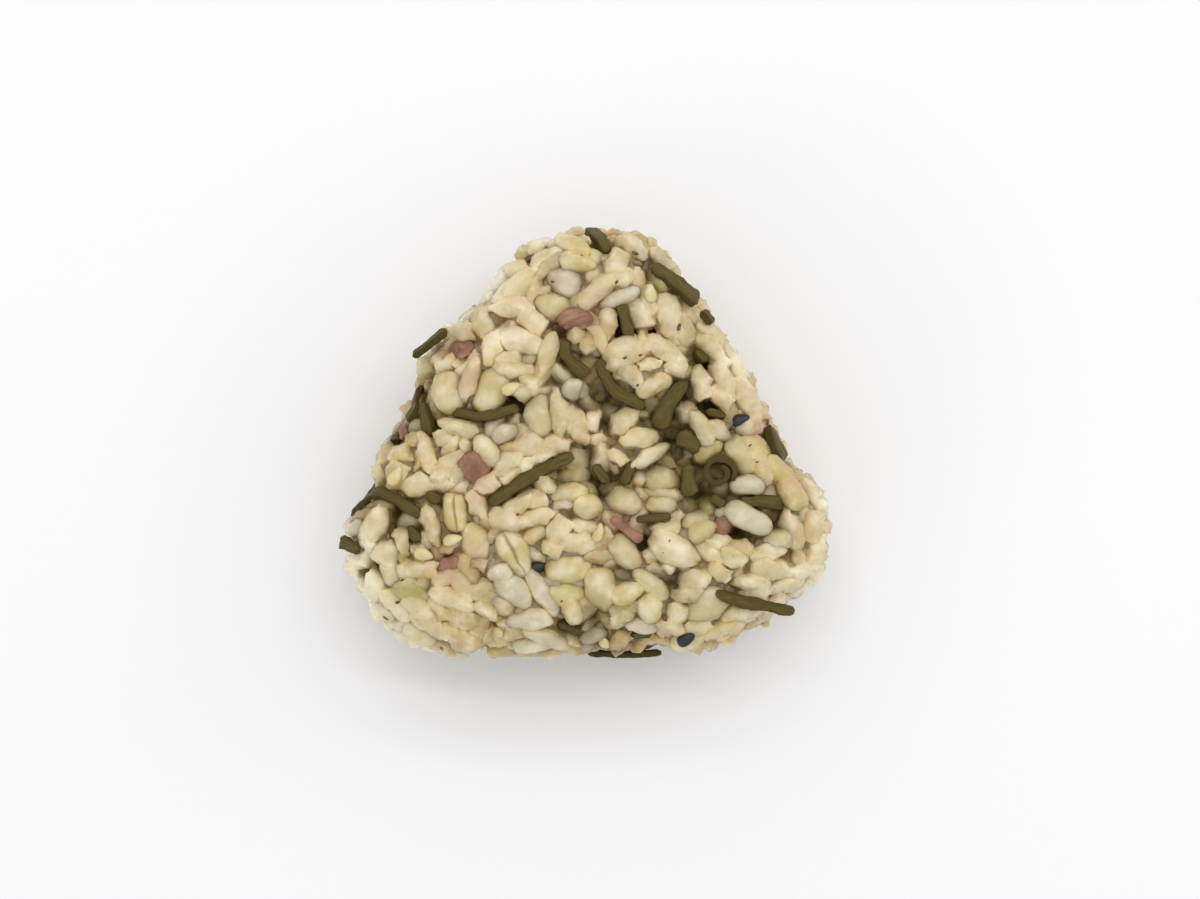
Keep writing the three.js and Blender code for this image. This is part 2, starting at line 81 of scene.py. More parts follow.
RICE, BARLEY, CLEAR = range(3)
KIND_COUNTS = {RICE: 1000, BARLEY: 180, CLEAR: 40}
BIT_COUNT = 1700
COVERED = 2.0  # grains whose tops lie deeper than this are left out
UNDER_GAPS = 3.0  # but up to this much deeper under the dark gaps
SHELL = 6.4  # the grains fill the ball this deep, over the core
SHELL_MARGIN = 1.2  # and start at least this far from the bottom of it
START_DEPTH = 1.3  # and from the outline
CORE_DEPTH = 4.4
CORE_LUMPS = 0.22
ROUNDS = 90  # of pressing the grains together
SEARCH_EVERY = 5  # rounds
NEIGHBOURS = 5  # grains are looked for this near each other
OBSTACLES_NEAR = 4
SOFTNESS = 0.63  # grains press into each other until this share of their widths is left
HELD = 0.12  # how much the listed grains give way, against 1 for the others
PROUD = 0.5  # a grain stands out of the ball's outline by up to this
SUNK = 1.6  # or lies up to this much inside it
UPPER_SUNK = 0.9  # deeper still under the listed grains on the upper face
PLACED_SIZE = 1.1  # times their listed size, since they show less than all of themselves
PLACED_LIFTS = -0.7, 0.4  # a little higher or lower than listed
PLACED_THICKNESS = 0.9  # of their width
LYING = 0.75  # how far the others are laid flat, from 0 for any way to 1 for all flat
LENGTHS = {RICE: (5.4, 7.6), BARLEY: (5.0, 6.8)}
WIDTHS = {RICE: (2.7, 3.5), BARLEY: (3.9, 4.6)}
THICKNESSES = {RICE: (0.78, 0.95), BARLEY: (0.8, 0.92)}  # shares of the width
BROKEN_SHARE, BROKEN_LENGTHS = 0.22, (3.2, 4.8)
ADDED_WIDTHS, ADDED_THICKNESS = (2.7, 3.4), 0.85
BIT_LENGTHS, BIT_WIDTHS, BIT_THICKNESS = (0.9, 2.4), (0.5, 0.8), 0.85
BIT_SUNK = -0.1
FILLING_CELL = 0.55  # the starch between the grains is drawn this finely
FILLING_ROUNDS = 4  # of smoothing it
FILLING_PULL = 0.6  # in each
FILLING_INSET = 0.7
OPENING = 2.5  # more grains go where the nearest one is further off than this
OPENING_TRIES = 600000
SKIN = -1.8, -1.3  # how far from the outline openings are looked for
KEPT_OPEN = 1.5  # but not so close to a shred or gap
RAY_START = 8  # small pieces come down on the ball from this far off

# Grains of the upper face, as they look from the camera on the plane of that face: x, y, length,
# width, turn in degrees from +X, tint from 0 for pale to 1 for deep, and how far one stands out.
WHITE = [
    (-10.8, 27.8, 7, 3.6, 30, 0, 0.5), (-11, 24.3, 6.5, 2.8, 5, 0.05, 0.3),
    (1, 26, 7.6, 3.3, 50, 0.05, 0.6), (-5.7, 32.3, 6, 3, 20, 0.2, 0), (-5.6, 30, 5.6, 2, 35, 0.6, 0),
    (4.8, 31.5, 6, 3, 75, 0.5, 0), (7, 33, 5.5, 3, -15, 0.3, 0), (5.5, 28.8, 3.4, 2.6, 20, 0.4, -0.2),
    (-10.5, 30.5, 4.5, 2.5, 45, 0.4, 0), (-7.4, 21.3, 5.5, 3, -50, 0, 0.5),
    (-9.5, 19, 7, 3.5, -10, 0.05, 0.2), (-13.3, 18, 5.2, 2.9, 65, 0.05, 0.5),
    (-5.3, 17, 6.2, 2.3, 70, 0.2, 0.1), (-10.8, 15.3, 6, 2.6, 8, 0.1, 0.2),
    (-17, 13.8, 6.2, 2.4, 75, 0.4, 0.1), (-21, 15.5, 3.8, 2.6, 60, 0.2, 0.2),
    (-8.3, 12.7, 3.5, 2.5, -40, 0.2, -0.1), (-3.6, 8.8, 6.6, 3, -70, 0.3, 0.3),
    (-1.2, 6.8, 5.6, 3.4, -60, 0.35, 0.4), (-18.4, 6.8, 5.8, 2.6, -5, 0.3, 0.2),
    (-19.5, 4.5, 4, 2, 65, 0.3, 0.1), (-23.3, 3.5, 5.8, 2.4, -70, 0.2, 0.2),
    (-27.2, 3, 5, 3, 40, 0.4, 0.1), (-27.8, 0.4, 5, 3.3, 80, 0.6, 0), (-20, 1.3, 6.5, 3, 55, 0.1, 0.3),
    (-8, 3.2, 5.5, 3.4, -10, 0.2, 0.3), (-11.3, 1.2, 5, 3, 40, 0.05, 0.4),
    (-3.6, 3.8, 5, 2.8, -30, 0.3, 0.1), (-15.6, 22.2, 5, 3, -70, 0.8, 0), (-18, 20.6, 5, 3, 15, 0.8, 0),
    (7.5, 22.5, 6.5, 3, -50, 0.3, 0.2), (11.7, 23, 6.5, 3.4, -65, 0.25, 0.3),
    (14.8, 21, 5.5, 3.2, -70, 0.7, 0.1), (5, 16.9, 6.5, 4, 45, 0.1, 0.6),
    (2, 19.2, 5, 2.5, -70, 0.2, 0.1), (7.6, 18.6, 3.4, 1.9, 60, 0.2, 0.3),
    (9.2, 15.5, 3.4, 2, 10, 0.1, 0.7), (6.2, 13.6, 4.6, 2.8, -50, 0.6, 0.2),
    (9.6, 12.6, 5, 2.6, 30, 0.5, 0.3), (11.8, 17.6, 6.3, 2.8, -35, 0.2, 0.3),
    (13.5, 15.6, 4, 2.4, -20, 0.3, 0.2), (17, 12.5, 6, 2.8, -70, 0.2, 0.3),
    (19.8, 10.4, 5.5, 2.6, -55, 0.25, 0.3), (18.6, 17.2, 6.5, 2.8, -25, 0.3, 0.2),
    (21, 13.6, 6, 3.2, -60, 0.5, 0), (23.9, 10.2, 7.2, 2.8, -70, 0.15, 0.3),
    (24.4, 7.1, 4.5, 3, 40, 0.25, 0.2), (14.3, 8.8, 4, 2.8, -45, 0.4, 0.2),
    (6, 7.3, 5, 3.6, 75, 0.2, 0.5), (7.6, 4.9, 5.5, 3, -20, 0.15, 0.5),
    (9.8, 2.8, 6, 2.2, 50, 0.3, 0.2), (4.7, 2.4, 3, 2, -30, 0, 0.3), (2, 5.2, 3.4, 1.7, 25, 0.3, 0.3),
    (1.3, 7.7, 3.4, 2.2, 15, 0.4, 0.2), (16.5, 6.4, 5.6, 2.4, -60, 0.4, 0.2),
    (19.3, 6.7, 4.8, 2.4, -55, 0.35, 0.2), (-24.8, -2, 5.5, 3.4, 20, 0.15, 0.3),
    (-21.2, -1.4, 4.5, 2.5, 60, 0.2, 0.2), (-29.8, -7.8, 5.5, 3.4, 80, 0.2, 0.4),
    (-31.6, -10.6, 2.8, 2.1, -40, 0.5, 0), (-22.2, -7.5, 5.5, 2.2, -75, 0.5, 0.1),
    (-25.9, -9.4, 4, 2, -60, 0.6, 0), (-15.8, -4.6, 5, 2.5, -60, 0.3, 0.1),
    (-11.6, -6.1, 4.8, 3.4, 20, 0.1, 0.3), (-7.2, -3.9, 5.8, 3, 5, 0.3, 0.2),
    (-7, -6.4, 6, 2.8, 15, 0.15, 0.3), (-3.2, -3.8, 2.7, 1.9, -30, 0.5, 0.2),
    (-3.6, -7.8, 5.5, 3, 60, 0.15, 0.4), (-1.4, -10.4, 5.5, 3, -5, 0.05, 0.5),
    (-4.5, -11.6, 4, 2.6, -20, 0.2, 0.3), (-22.7, -13.8, 7.4, 2.8, 8, 0.3, 0.3),
    (-18, -15.8, 5.5, 3.4, -60, 0.2, 0.3), (-19.6, -18, 6.8, 2.4, -15, 0.1, 0.4),
    (-30.8, -16.3, 5.6, 3.2, 55, 0, 0.3), (-25.6, -17.1, 5.5, 2.6, -10, 0.9, -0.1),
    (-28, -19.4, 6.5, 3, -45, 0.15, 0.2), (-24.7, -20.3, 5.5, 3, -55, 0.2, 0.3),
    (-21.6, -19.8, 4.4, 2.4, -40, 0.7, 0), (-22.6, -22.8, 6, 3, -30, 0.3, 0.2),
    (-17.5, -20.9, 5, 3.4, -10, 0.8, 0), (-14.5, -20.6, 4.5, 2.8, -10, 0.6, 0.1),
    (-15.4, -23, 5, 3, 60, 0.9, 0), (-18.3, -24, 6, 3, -10, 0.7, 0), (-15, -16.8, 4, 3, 10, 0.4, 0),
    (-10.6, -23.4, 4, 3, 20, 0.3, 0.1), (13, -11, 7.5, 4.2, -20, 0.15, 0.5),
    (17.6, -11.2, 6, 3, -20, 0.1, 0.4), (19, -9.2, 4.2, 2.4, 30, 0.1, 0.5),
    (26, -11.3, 5, 2.4, -5, 0.15, 0.3), (22.8, -10.2, 4, 2, -10, 0.5, 0),
    (21.4, -12.3, 5, 3, -30, 0.4, 0.2), (27, -14, 6.5, 3.2, -15, 0.3, 0.3),
    (24, -16.2, 5, 2.8, -10, 0.4, 0.1), (29.5, -16.5, 6, 3, 15, 0.3, 0.1),
    (32, -14.3, 5.5, 2.6, 0, 0.2, 0.2), (30.6, -8, 6, 3, -70, 0.4, 0.2),
    (33.6, -7, 6, 3.6, 80, 0.5, 0.2), (13.4, -20.4, 4, 3.4, 60, 0.2, 0.3),
    (16.3, -15.4, 5.6, 3.4, 10, 0.35, 0.2), (14.6, -17.4, 4.5, 2.6, -20, 0.7, -0.4),
    (22.5, -20.6, 6, 3.2, 10, 0.3, 0.1), (20, -23.2, 6, 2.8, 10, 0.4, 0),
    (11.6, -22.6, 5, 3, 0, 0.35, 0.1), (5.5, -21.6, 3.6, 2.6, 30, 0.8, -0.2),
    (1.6, -12, 5, 2.4, 10, 0.9, -0.8), (12, -7.8, 5, 2.2, 5, 0.7, -0.7),
    (13.3, -6, 2.6, 1.8, 40, 0.5, 0), (27, -4, 5, 2.8, 60, 0.7, 0), (34.2, -11.2, 5, 3, 75, 0.3, 0.1),
    (33, -2.6, 5, 3, -60, 0.5, 0), (11.6, 31, 6, 2.4, -35, 0.25, -0.1),
    (15.8, 27.6, 4.5, 2, -50, 0.3, -0.6), (3, 21.6, 4.2, 2.6, 75, 0.8, -0.5),
    (9.6, 25, 4.5, 3, -60, 0.7, -0.2), (18.6, 20.6, 5, 2.6, -55, 0.2, 0.2),
    (1.6, 13.4, 4, 2.2, 60, 0.95, -1.2), (-11.2, 16.9, 4.4, 2.4, 20, 0.1, 0),
    (-9.7, 11.6, 3.6, 2.2, -30, 0.4, 0), (-6.2, 1.8, 3.8, 2, 30, 0.4, -0.1),
    (0, -7.8, 3.8, 2.4, -20, 0.3, 0.1), (25, -17.9, 4.4, 2.6, -10, 0.3, 0),
    (-10.6, -0.3, 4.2, 2.2, 38, 0.15, 0), (-10.2, -3.6, 4.6, 2.4, 40, 0.3, 0),
    (16.8, -21.9, 4.4, 2.6, 20, 0.1, 0.1), (19.4, -14.8, 4.4, 2.4, -15, 0.5, 0.1),
    (-18.4, 0.2, 4, 2.2, 40, 0.3, 0), (-19.6, -10.6, 3.6, 2.4, 20, 0.5, 0),
    (-19.9, -14.4, 4, 2.4, 20, 0.4, 0), (-13.6, -1.2, 4.6, 2.6, 25, 0.3, 0.1),
    (-8, 1, 4.4, 2.4, 40, 0.2, 0.1), (-24.5, -11.6, 4, 2.4, -30, 0.6, 0),
    (-15.6, -13.2, 3.6, 2.4, 10, 0.7, -0.2), (-12.6, -9, 4, 2.4, 40, 0.7, -0.3),
    (-6.4, -0.6, 4.6, 2.6, -25, 0.4, 0),
]
PLUMP = [
    (-4.5, 24.3, 5.5, 3.9, -15, 0.3, 0.3), (-1.4, 30.6, 5, 3.2, -5, 0.6, 0.1),
    (-2.2, 33, 6, 2.9, -20, 0.4, 0.1), (-14, 12.2, 6.6, 4.7, 70, 0.35, 0.6),
    (-20, 11.4, 6.5, 4.8, -60, 0.3, 0.6), (-6.8, 8, 6, 3.9, 90, 0.1, 0.5),
    (-13.8, 2.8, 5, 3.1, -50, 0.2, 0.4), (17.5, 3.1, 4.6, 3.1, 10, 0.8, 0),
    (22, 2.3, 6.4, 3.7, -55, 0.6, 0.4), (25.2, 3.8, 5, 3.2, -10, 0.7, 0.2),
    (25.6, 1.2, 5, 3, -20, 0.7, 0.1), (28.3, 0, 5, 3.2, -50, 0.6, 0.1),
    (-28.7, -11.6, 4.7, 3.5, 0, 0.4, 0.4), (-15.8, -10, 5.5, 4.1, -40, 0.4, 0.4),
    (-2.3, -1.8, 5.4, 2.7, -15, 0.5, 0.3), (0.2, -4.8, 3.9, 3.5, 30, 0.5, 0.4),
    (-3, -13.9, 6.5, 4.3, 20, 0.2, 0.5), (-28, -14.6, 4.4, 3.3, -50, 0.3, 0.2),
    (-2.3, -19.6, 4.5, 2.9, -50, 0.4, 0.4), (-7.2, -9, 3.2, 2.6, 40, 0.8, 0),
    (5.9, -3.6, 5, 3.9, -10, 0.6, 0.3), (10.7, -1.2, 6, 4.5, -40, 0.55, 0.4),
    (11, -4, 4.4, 3, 0, 0.55, 0.1), (16, -5.2, 4.2, 3, -40, 0.6, 0.2),
    (16.6, -8, 4.2, 3.1, 80, 0.6, 0.3), (27.7, -8.8, 4.5, 3.2, -30, 0.6, 0),
    (5.5, -11.4, 5.7, 3.7, -50, 0.45, 0.4), (9.6, -16.4, 6, 2.8, -40, 0.2, 0.4),
    (2.2, -17, 6.2, 4.7, -70, 0.7, 0.4), (6.2, -18, 4.8, 2.9, 50, 0.6, 0.2),
    (9, -19.7, 4.2, 3.6, 60, 0.2, 0.4), (17.2, -19.3, 6.7, 5, 25, 0.6, 0.5),
    (29.6, -2.4, 5, 3.5, -60, 0.6, 0.1), (-24.2, -23.8, 5, 3.4, -25, 0.4, 0),
]
CREASED = [(-19.1, -5.8, 5.6, 3.4, 92, 0.45, 0.5), (-10.3, -11.4, 7, 4.2, -60, 0.5, 0.5)]
GLASSY = [
    (-3.4, 27.7, 5.2, 4.3, -30, 0.3, 0.2), (5.2, 25.4, 6, 2.5, 25, 0.3, 0),
    (-1.5, 12, 3.2, 2.5, 70, 0.6, 0.2), (-13.6, 7.2, 5, 2.5, 60, 0.7, 0),
    (-12, 5.6, 4.2, 2.4, 20, 0.6, 0.1), (-34, -8.2, 4.5, 2.4, 15, 0.3, 0),
    (-12.2, -14.3, 3.4, 2.4, 20, 0.1, 0.3), (-11, -17.6, 6.2, 4, -50, 0.2, 0.3),
    (-5.6, -17, 7.4, 2.9, -40, 0.3, 0.2), (-8, -21.8, 6, 3, 10, 0.3, 0.1),
    (-5.8, -24, 6.4, 2.4, -15, 0.4, 0), (23.4, -6.8, 6.9, 3.3, -8, 0, 0.9),
    (23, -2.4, 4.6, 2.6, -30, 0.2, 0.2), (8, -23.6, 5, 2.4, -5, 0.4, 0),
    (19.5, -6.3, 2, 1.6, 20, 0.5, 0.2), (0.8, -24.4, 4, 2.4, 5, 0.5, 0),
]
GAPS = [  # x, y and radius of the dark gaps where no grain lies
    (5.8, -14.8, 1.4), (-14.6, -14.8, 0.8), (-21.6, -4, 0.9), (15.8, 15.8, 1), (13.5, 5.5, 2.4),
    (1.8, 11.8, 2), (4.4, 10.6, 1.8), (-0.8, 10.2, 0.9), (10.4, 8.8, 1.2), (11.6, 5.4, 1.4),
    (14.2, 10.2, 1), (14.2, -1.2, 1.1), (16.5, -2.6, 1.3), (-17.4, 9, 0.7), (23.2, -9.2, 1),
    (-1.6, 16.4, 0.9), (12.6, 8.2, 1.3), (20, -3.6, 1.1), (1, -20.9, 1.3), (10.6, 6.5, 1),
    (0.8, -0.6, 1.3), (12.4, -15.8, 1.2), (2.6, 7.4, 1.2), (0.2, 2.8, 1), (-3.2, -1.2, 1),
    (28.2, 4.4, 1.4), (29.6, 2.2, 1.4), (15.8, -5.2, 1), (2.1, -3.1, 1.1), (-3.8, 12.4, 0.8),
    (7.9, 3.3, 0.8), (-0.2, 8.8, 0.9), (-3.5, 20.2, 0.8), (-26.9, 6, 1.1), (26.8, -7.6, 0.9),
    (2.6, -24.6, 1), (8.9, 0.9, 0.9),
]


# ---- The outline of the ball ----

def outline_radius(bearing):
    total = 0
    for facing, distance in FLANKS:
        total = total + np.maximum(0, np.cos(bearing - math.radians(facing)) / distance) ** CORNER_POWER
    radius = total ** (-1 / CORNER_POWER)
    for facing, reach, spread in SWELLS:
        away = np.arccos(np.clip(np.cos(bearing - math.radians(facing)), -1, 1))
        radius = radius + reach * np.exp(-((away / math.radians(spread)) ** 2))
    return radius


def hollow_depth(x, y):
    return sum(
        depth * np.exp(-((x - at_x) ** 2 + (y - at_y) ** 2) / radius ** 2)
        for at_x, at_y, radius, depth in HOLLOWS
    )


def upper_height(x, y):
    out = np.hypot(x, y) / outline_radius(np.arctan2(y, x))
    share = np.clip(1 - out ** EDGE_POWER, 0, 1) ** (1 / EDGE_POWER)
    return HALF_THICKNESS + (HALF_THICKNESS - hollow_depth(x, y)) * share


def seen_from_camera(x, y):
    """The place on the upper side that covers x, y on the plane of the upper face."""
    z = upper_height(x, y)
    for _ in range(3):
        share = (CAMERA[2] - z) / (CAMERA[2] - FACE_PLANE)
        at_x = CAMERA[0] + (x - CAMERA[0]) * share
        at_y = CAMERA[1] + (y - CAMERA[1]) * share
        z = upper_height(at_x, at_y)
    return np.stack([at_x, at_y, z], axis=-1)


def level(points):
    """1 on the outline of the ball, less inside it."""
    x, y, z = points.T
    out = np.hypot(x, y) / outline_radius(np.arctan2(y, x))
    height = np.where(z > HALF_THICKNESS, HALF_THICKNESS - hollow_depth(x, y), HALF_THICKNESS)
    up = np.abs(z - HALF_THICKNESS) / height
    return (out ** EDGE_POWER + up ** EDGE_POWER) ** (1 / EDGE_POWER)


def outline_distance(points, step=0.05):
    """How far points are outside the outline, less than 0 inside it, and the way out."""
    slope = np.empty_like(points)
    for axis in range(3):
        shift = np.zeros(3)
        shift[axis] = step
        slope[:, axis] = (level(points + shift) - level(points - shift)) / (2 * step)
    steepness = np.linalg.norm(slope, axis=1)
    return (level(points) - 1) / steepness, slope / steepness[:, None]


def random_places(count, batch, top, deepest, shallowest):
    """Random places that lie between two distances from the outline."""
    low, high = REGION
    found = np.empty((0, 3))
    while len(found) < count:
        tries = random.uniform(low, (*high[:2], top), (batch, 3))
        distance = outline_distance(tries)[0]
        found = np.concatenate([found, tries[(distance < shallowest) & (distance > deepest)]])
    return found[:count]


def stain(points, spots):
    """How strongly each point is stained by spots of x, y, z, radius and strength."""
    total = np.zeros(len(points))
    for x, y, z, radius, strength in spots:
        away = np.sum((points - (x, y, z)) ** 2 * (1, 1, 0.3), axis=1) / radius ** 2
        total = np.maximum(total, strength * np.exp(-away))
    return total


def crossed(a, b):
    c = np.cross(a, b)
    return c / np.maximum(np.linalg.norm(c, axis=1), 1e-9)[:, None]


def laid_flat(headings, out, share=1.0):
    """Unit headings, with that share of what points out of the ball taken away."""
    flat = headings - share * np.sum(headings * out, axis=1)[:, None] * out
    return flat / np.linalg.norm(flat, axis=1)[:, None]


# ---- Meshes and node trees ----

def add_object(name, data):
    made = bpy.data.objects.new(name, data)
    bpy.context.scene.collection.objects.link(made)
    return made


def new_mesh(name, points, edges, faces):
    mesh = bpy.data.meshes.new(name)
    mesh.from_pydata([tuple(p) for p in np.asarray(points, float)], edges, faces)
    mesh.update()
    return mesh


def piece_from(name, points, faces):
    return add_object(name, new_mesh(name, points, [], faces))


def set_attribute(mesh, name, values, kind="FLOAT"):
    field = "vector" if kind == "FLOAT_VECTOR" else "value"
    attribute = mesh.attributes.get(name) or mesh.attributes.new(name, kind, "POINT")
    dtype = np.int32 if kind == "INT" else np.float32
    attribute.data.foreach_set(field, np.ascontiguousarray(values, dtype).ravel())


def points_of(mesh):
    found = np.empty(len(mesh.vertices) * 3, np.float32)
    mesh.vertices.foreach_get("co", found)
    return found.reshape(-1, 3).astype(float) / MM


def set_points(mesh, points):
    mesh.vertices.foreach_set("co", (points * MM).astype(np.float32).ravel())


def joined(pieces):
    """The points, in millimetres, and the faces of several pieces."""
    points = np.concatenate([points_of(piece.data) for piece in pieces])
    faces = []
    start = 0
    for piece in pieces:
        faces += [[start + i for i in face.vertices] for face in piece.data.polygons]
        start += len(piece.data.vertices)
    return points, faces


def finish_mesh(mesh, look):
    mesh.polygons.foreach_set("use_smooth", [True] * len(mesh.polygons))
    mesh.materials.append(look)
    mesh.update()


class Nodes:
    """Adds nodes to a tree, each with its inputs given as values or as sockets to join."""

    def __init__(self, tree):
        self.tree = tree

    def add(self, kind, inputs=(), **settings):
        node = self.tree.nodes.new(kind)
        for name, value in settings.items():
            setattr(node, name, value)
        for name, value in dict(inputs).items():
            self.set(node.inputs[name], value)
        return node

    def set(self, socket, value):
        if isinstance(value, bpy.types.NodeSocket):
            self.tree.links.new(value, socket)
        else:
            socket.default_value = value

    def first(self, kind, inputs=(), **settings):
        return self.add(kind, inputs, **settings).outputs[0]

    def math(self, operation, *values):
        return self.first("ShaderNodeMath", dict(enumerate(values)), operation=operation)

    def vector_math(self, operation, a, b):
        second = "Scale" if operation == "SCALE" else 1
        return self.first("ShaderNodeVectorMath", {0: a, second: b}, operation=operation)

    def mix(self, share, a, b, blend="MIX"):
        node = self.add("ShaderNodeMix", {0: share, 6: a, 7: b}, data_type="RGBA", blend_type=blend)
        return node.outputs[2]

    def between(self, value, low, high, to_low=0.0, to_high=1.0):
        given = {0: value, 1: low, 2: high, 3: to_low, 4: to_high}
        return self.first("ShaderNodeMapRange", given)

    def noise(self, place, scale, detail=2.0, output="Fac"):
        given = {"Vector": place, "Scale": scale, "Detail": detail}
        return self.add("ShaderNodeTexNoise", given).outputs[output]

    def place(self):
        return self.add("ShaderNodeTexCoord").outputs["Object"]

    def painted(self, name):
        """An attribute of the mesh, for a material."""
        return self.add("ShaderNodeAttribute", attribute_name=name).outputs["Fac"]

    def stored(self, name, kind="FLOAT"):
        """An attribute of the mesh, for a geometry tree."""
        given = {"Name": name}
        return self.add("GeometryNodeInputNamedAttribute", given, data_type=kind).outputs["Attribute"]

    def bump(self, height, strength, distance, **more):
        given = {"Strength": strength, "Distance": distance, "Height": height, **more}
        return self.add("ShaderNodeBump", given).outputs["Normal"]


def new_group(name, kind, inputs, outputs):
    """A node group. inputs gives each socket's kind and value, and outputs gives its kind."""
    tree = bpy.data.node_groups.new(name, kind)
    for label, (socket_kind, *value) in inputs.items():
        socket = tree.interface.new_socket(
            label, in_out="INPUT", socket_type="NodeSocket" + socket_kind
        )
        if value:
            socket.default_value = value[0]
    for label, socket_kind in outputs.items():
        tree.interface.new_socket(label, in_out="OUTPUT", socket_type="NodeSocket" + socket_kind)
    nodes = Nodes(tree)
    return nodes, nodes.add("NodeGroupInput").outputs


def finish_group(nodes, results):
    nodes.add("NodeGroupOutput", results)
    return nodes.tree


def baked(source, tree, values):
    """Puts source through a geometry tree and keeps the result as its plain mesh."""
    modifier = source.modifiers.new(tree.name, "NODES")
    modifier.node_group = tree
    for item in tree.interface.items_tree:
        if item.item_type == "SOCKET" and item.in_out == "INPUT" and item.name in values:
            modifier[item.identifier] = values[item.name]
    depsgraph = bpy.context.evaluated_depsgraph_get()
    shown = source.evaluated_get(depsgraph)
    mesh = bpy.data.meshes.new_from_object(shown, preserve_all_data_layers=True, depsgraph=depsgraph)
    source.modifiers.clear()
    source.data = mesh
    return source


# ---- Materials ----

# Noise scales count patches in a metre, and distances are in metres.
WARM_GRAIN = (0.60, 0.46, 0.32, 1)
GREENISH_GRAIN = (0.58, 0.55, 0.36, 1)
CLOUDY = (0.45, 0.35, 0.15, 1)
CHALKY = (0.88, 0.81, 0.62, 1)
DEEP_BETWEEN = (0.55, 0.405, 0.15, 1)
GRAIN_RIM = (0.80, 0.68, 0.44, 1)
PALE_SKIN = (0.92, 0.85, 0.66, 1)
PLUM_STAIN = (0.52, 0.25, 0.17, 1)
LEAF_STAIN = (0.30, 0.30, 0.08, 1)
KELP_STAIN = (0.08, 0.052, 0.010, 1)
KELP_DARK, KELP_LIGHT = (0.080, 0.058, 0.012, 1), (0.130, 0.098, 0.024, 1)
KELP_BROWN, KELP_RIM = (0.105, 0.068, 0.018, 1), (0.05, 0.036, 0.008, 1)
PLUM_DARK, PLUM_LIGHT = (0.22, 0.095, 0.05, 1), (0.36, 0.19, 0.11, 1)


def stained_grain_group():
    """Colour of boiled grain: lighter and darker grains, painted shade between them and on their sides,
    and stains, partly painted shade and painted light.
    """
    nodes, given = new_group(
        "stained grain", "ShaderNodeTree",
        {
            "Pale": ("Color", (0.8, 0.8, 0.8, 1)), "Deep": ("Color", (0.5, 0.5, 0.3, 1)),
            "Mottle": ("Float", 0.1), "Bump": ("Float", 0.3), "Crevice": ("Float", 0.85),
            "Join": ("Float", 0.0006), "Edge": ("Float", 0.45), "Shine": ("Float", 0.35),
        },
        {"Color": "Color", "Roughness": "Float", "Gloss": "Float", "Normal": "Vector"},
    )
    place = nodes.place()
    hue = nodes.painted("hue")
    color = nodes.mix(nodes.painted("tint"), given["Pale"], given["Deep"])
    color = nodes.mix(nodes.between(hue, 0.75, 1.0, 0, 0.35), color, WARM_GRAIN)
    color = nodes.mix(nodes.between(hue, 0.4, 0.0, 0, 0.5), color, GREENISH_GRAIN)
    cloud = nodes.noise(place, 420, 3)
    mottle = nodes.math("MULTIPLY", nodes.between(cloud, 0.35, 0.7), given["Mottle"])
    color = nodes.mix(mottle, color, CLOUDY)
    chalk = nodes.between(nodes.noise(place, 330), 0.45, 0.7, 0, 0.5)
    color = nodes.mix(chalk, color, CHALKY)
    # Painted shade: the colour darkens in the creases between the grains, where little open sky
    # reaches, and deeper under the outline.
    open_share = nodes.add("ShaderNodeAmbientOcclusion", {"Distance": 0.003}, samples=8).outputs["AO"]
    crevice = nodes.between(open_share, 0.05, 0.6, given["Crevice"], 0.0)
    hidden = nodes.math("MAXIMUM", crevice, nodes.painted("deep"))
    color = nodes.mix(hidden, color, DEEP_BETWEEN, "MULTIPLY")
    # Painted shade: the sides of the grains, which turn away from the outside of the ball, are
    # darkened.
    rim = nodes.between(nodes.painted("slant"), 0.05, 0.75, 0, given["Edge"])
    color = nodes.mix(rim, color, GRAIN_RIM, "MULTIPLY")
    # pale patches: paler grains, and painted light
    color = nodes.mix(nodes.painted("pale"), color, PALE_SKIN)
    patch = nodes.between(nodes.noise(place, 260, 3), 0.35, 0.65, 0.3)
    color = nodes.mix(nodes.math("MULTIPLY", nodes.painted("pink"), patch), color, PLUM_STAIN)
    color = nodes.mix(nodes.painted("green"), color, LEAF_STAIN)
    # olive: the stain of the kelp on the rice, and painted shade in the hollows and gaps
    olive = nodes.painted("olive")
    color = nodes.mix(olive, color, KELP_STAIN)
    fine, coarse = nodes.noise(place, 1300, 1), nodes.noise(place, 620, 1)
    facets = nodes.first("ShaderNodeTexVoronoi", {"Vector": place, "Scale": 800.0})
    height = nodes.math("ADD", fine, nodes.math("MULTIPLY", coarse, 3.0))
    height = nodes.math("SUBTRACT", height, nodes.math("MULTIPLY", facets, 0.8))
    joined_normal = nodes.first("ShaderNodeBevel", {"Radius": given["Join"]}, samples=4)
    normal = nodes.bump(height, given["Bump"], 0.00027, Normal=joined_normal)
    rough = nodes.between(cloud, 0.35, 0.65, 0.12, 0.36)
    gloss = nodes.between(nodes.math("MAXIMUM", hidden, olive), 0, 0.6, given["Shine"], 0)
    return finish_group(nodes, {"Color": color, "Roughness": rough, "Gloss": gloss, "Normal": normal})


STAINED_GRAIN = stained_grain_group()


def new_material(name):
    material = bpy.data.materials.new(name)
    material.use_nodes = True
    material.node_tree.nodes.clear()
    return material, Nodes(material.node_tree)


def close_material(material, nodes, sockets):
    shader = nodes.first("ShaderNodeBsdfPrincipled", sockets, subsurface_method="BURLEY")
    nodes.add("ShaderNodeOutputMaterial", {"Surface": shader})
    return material


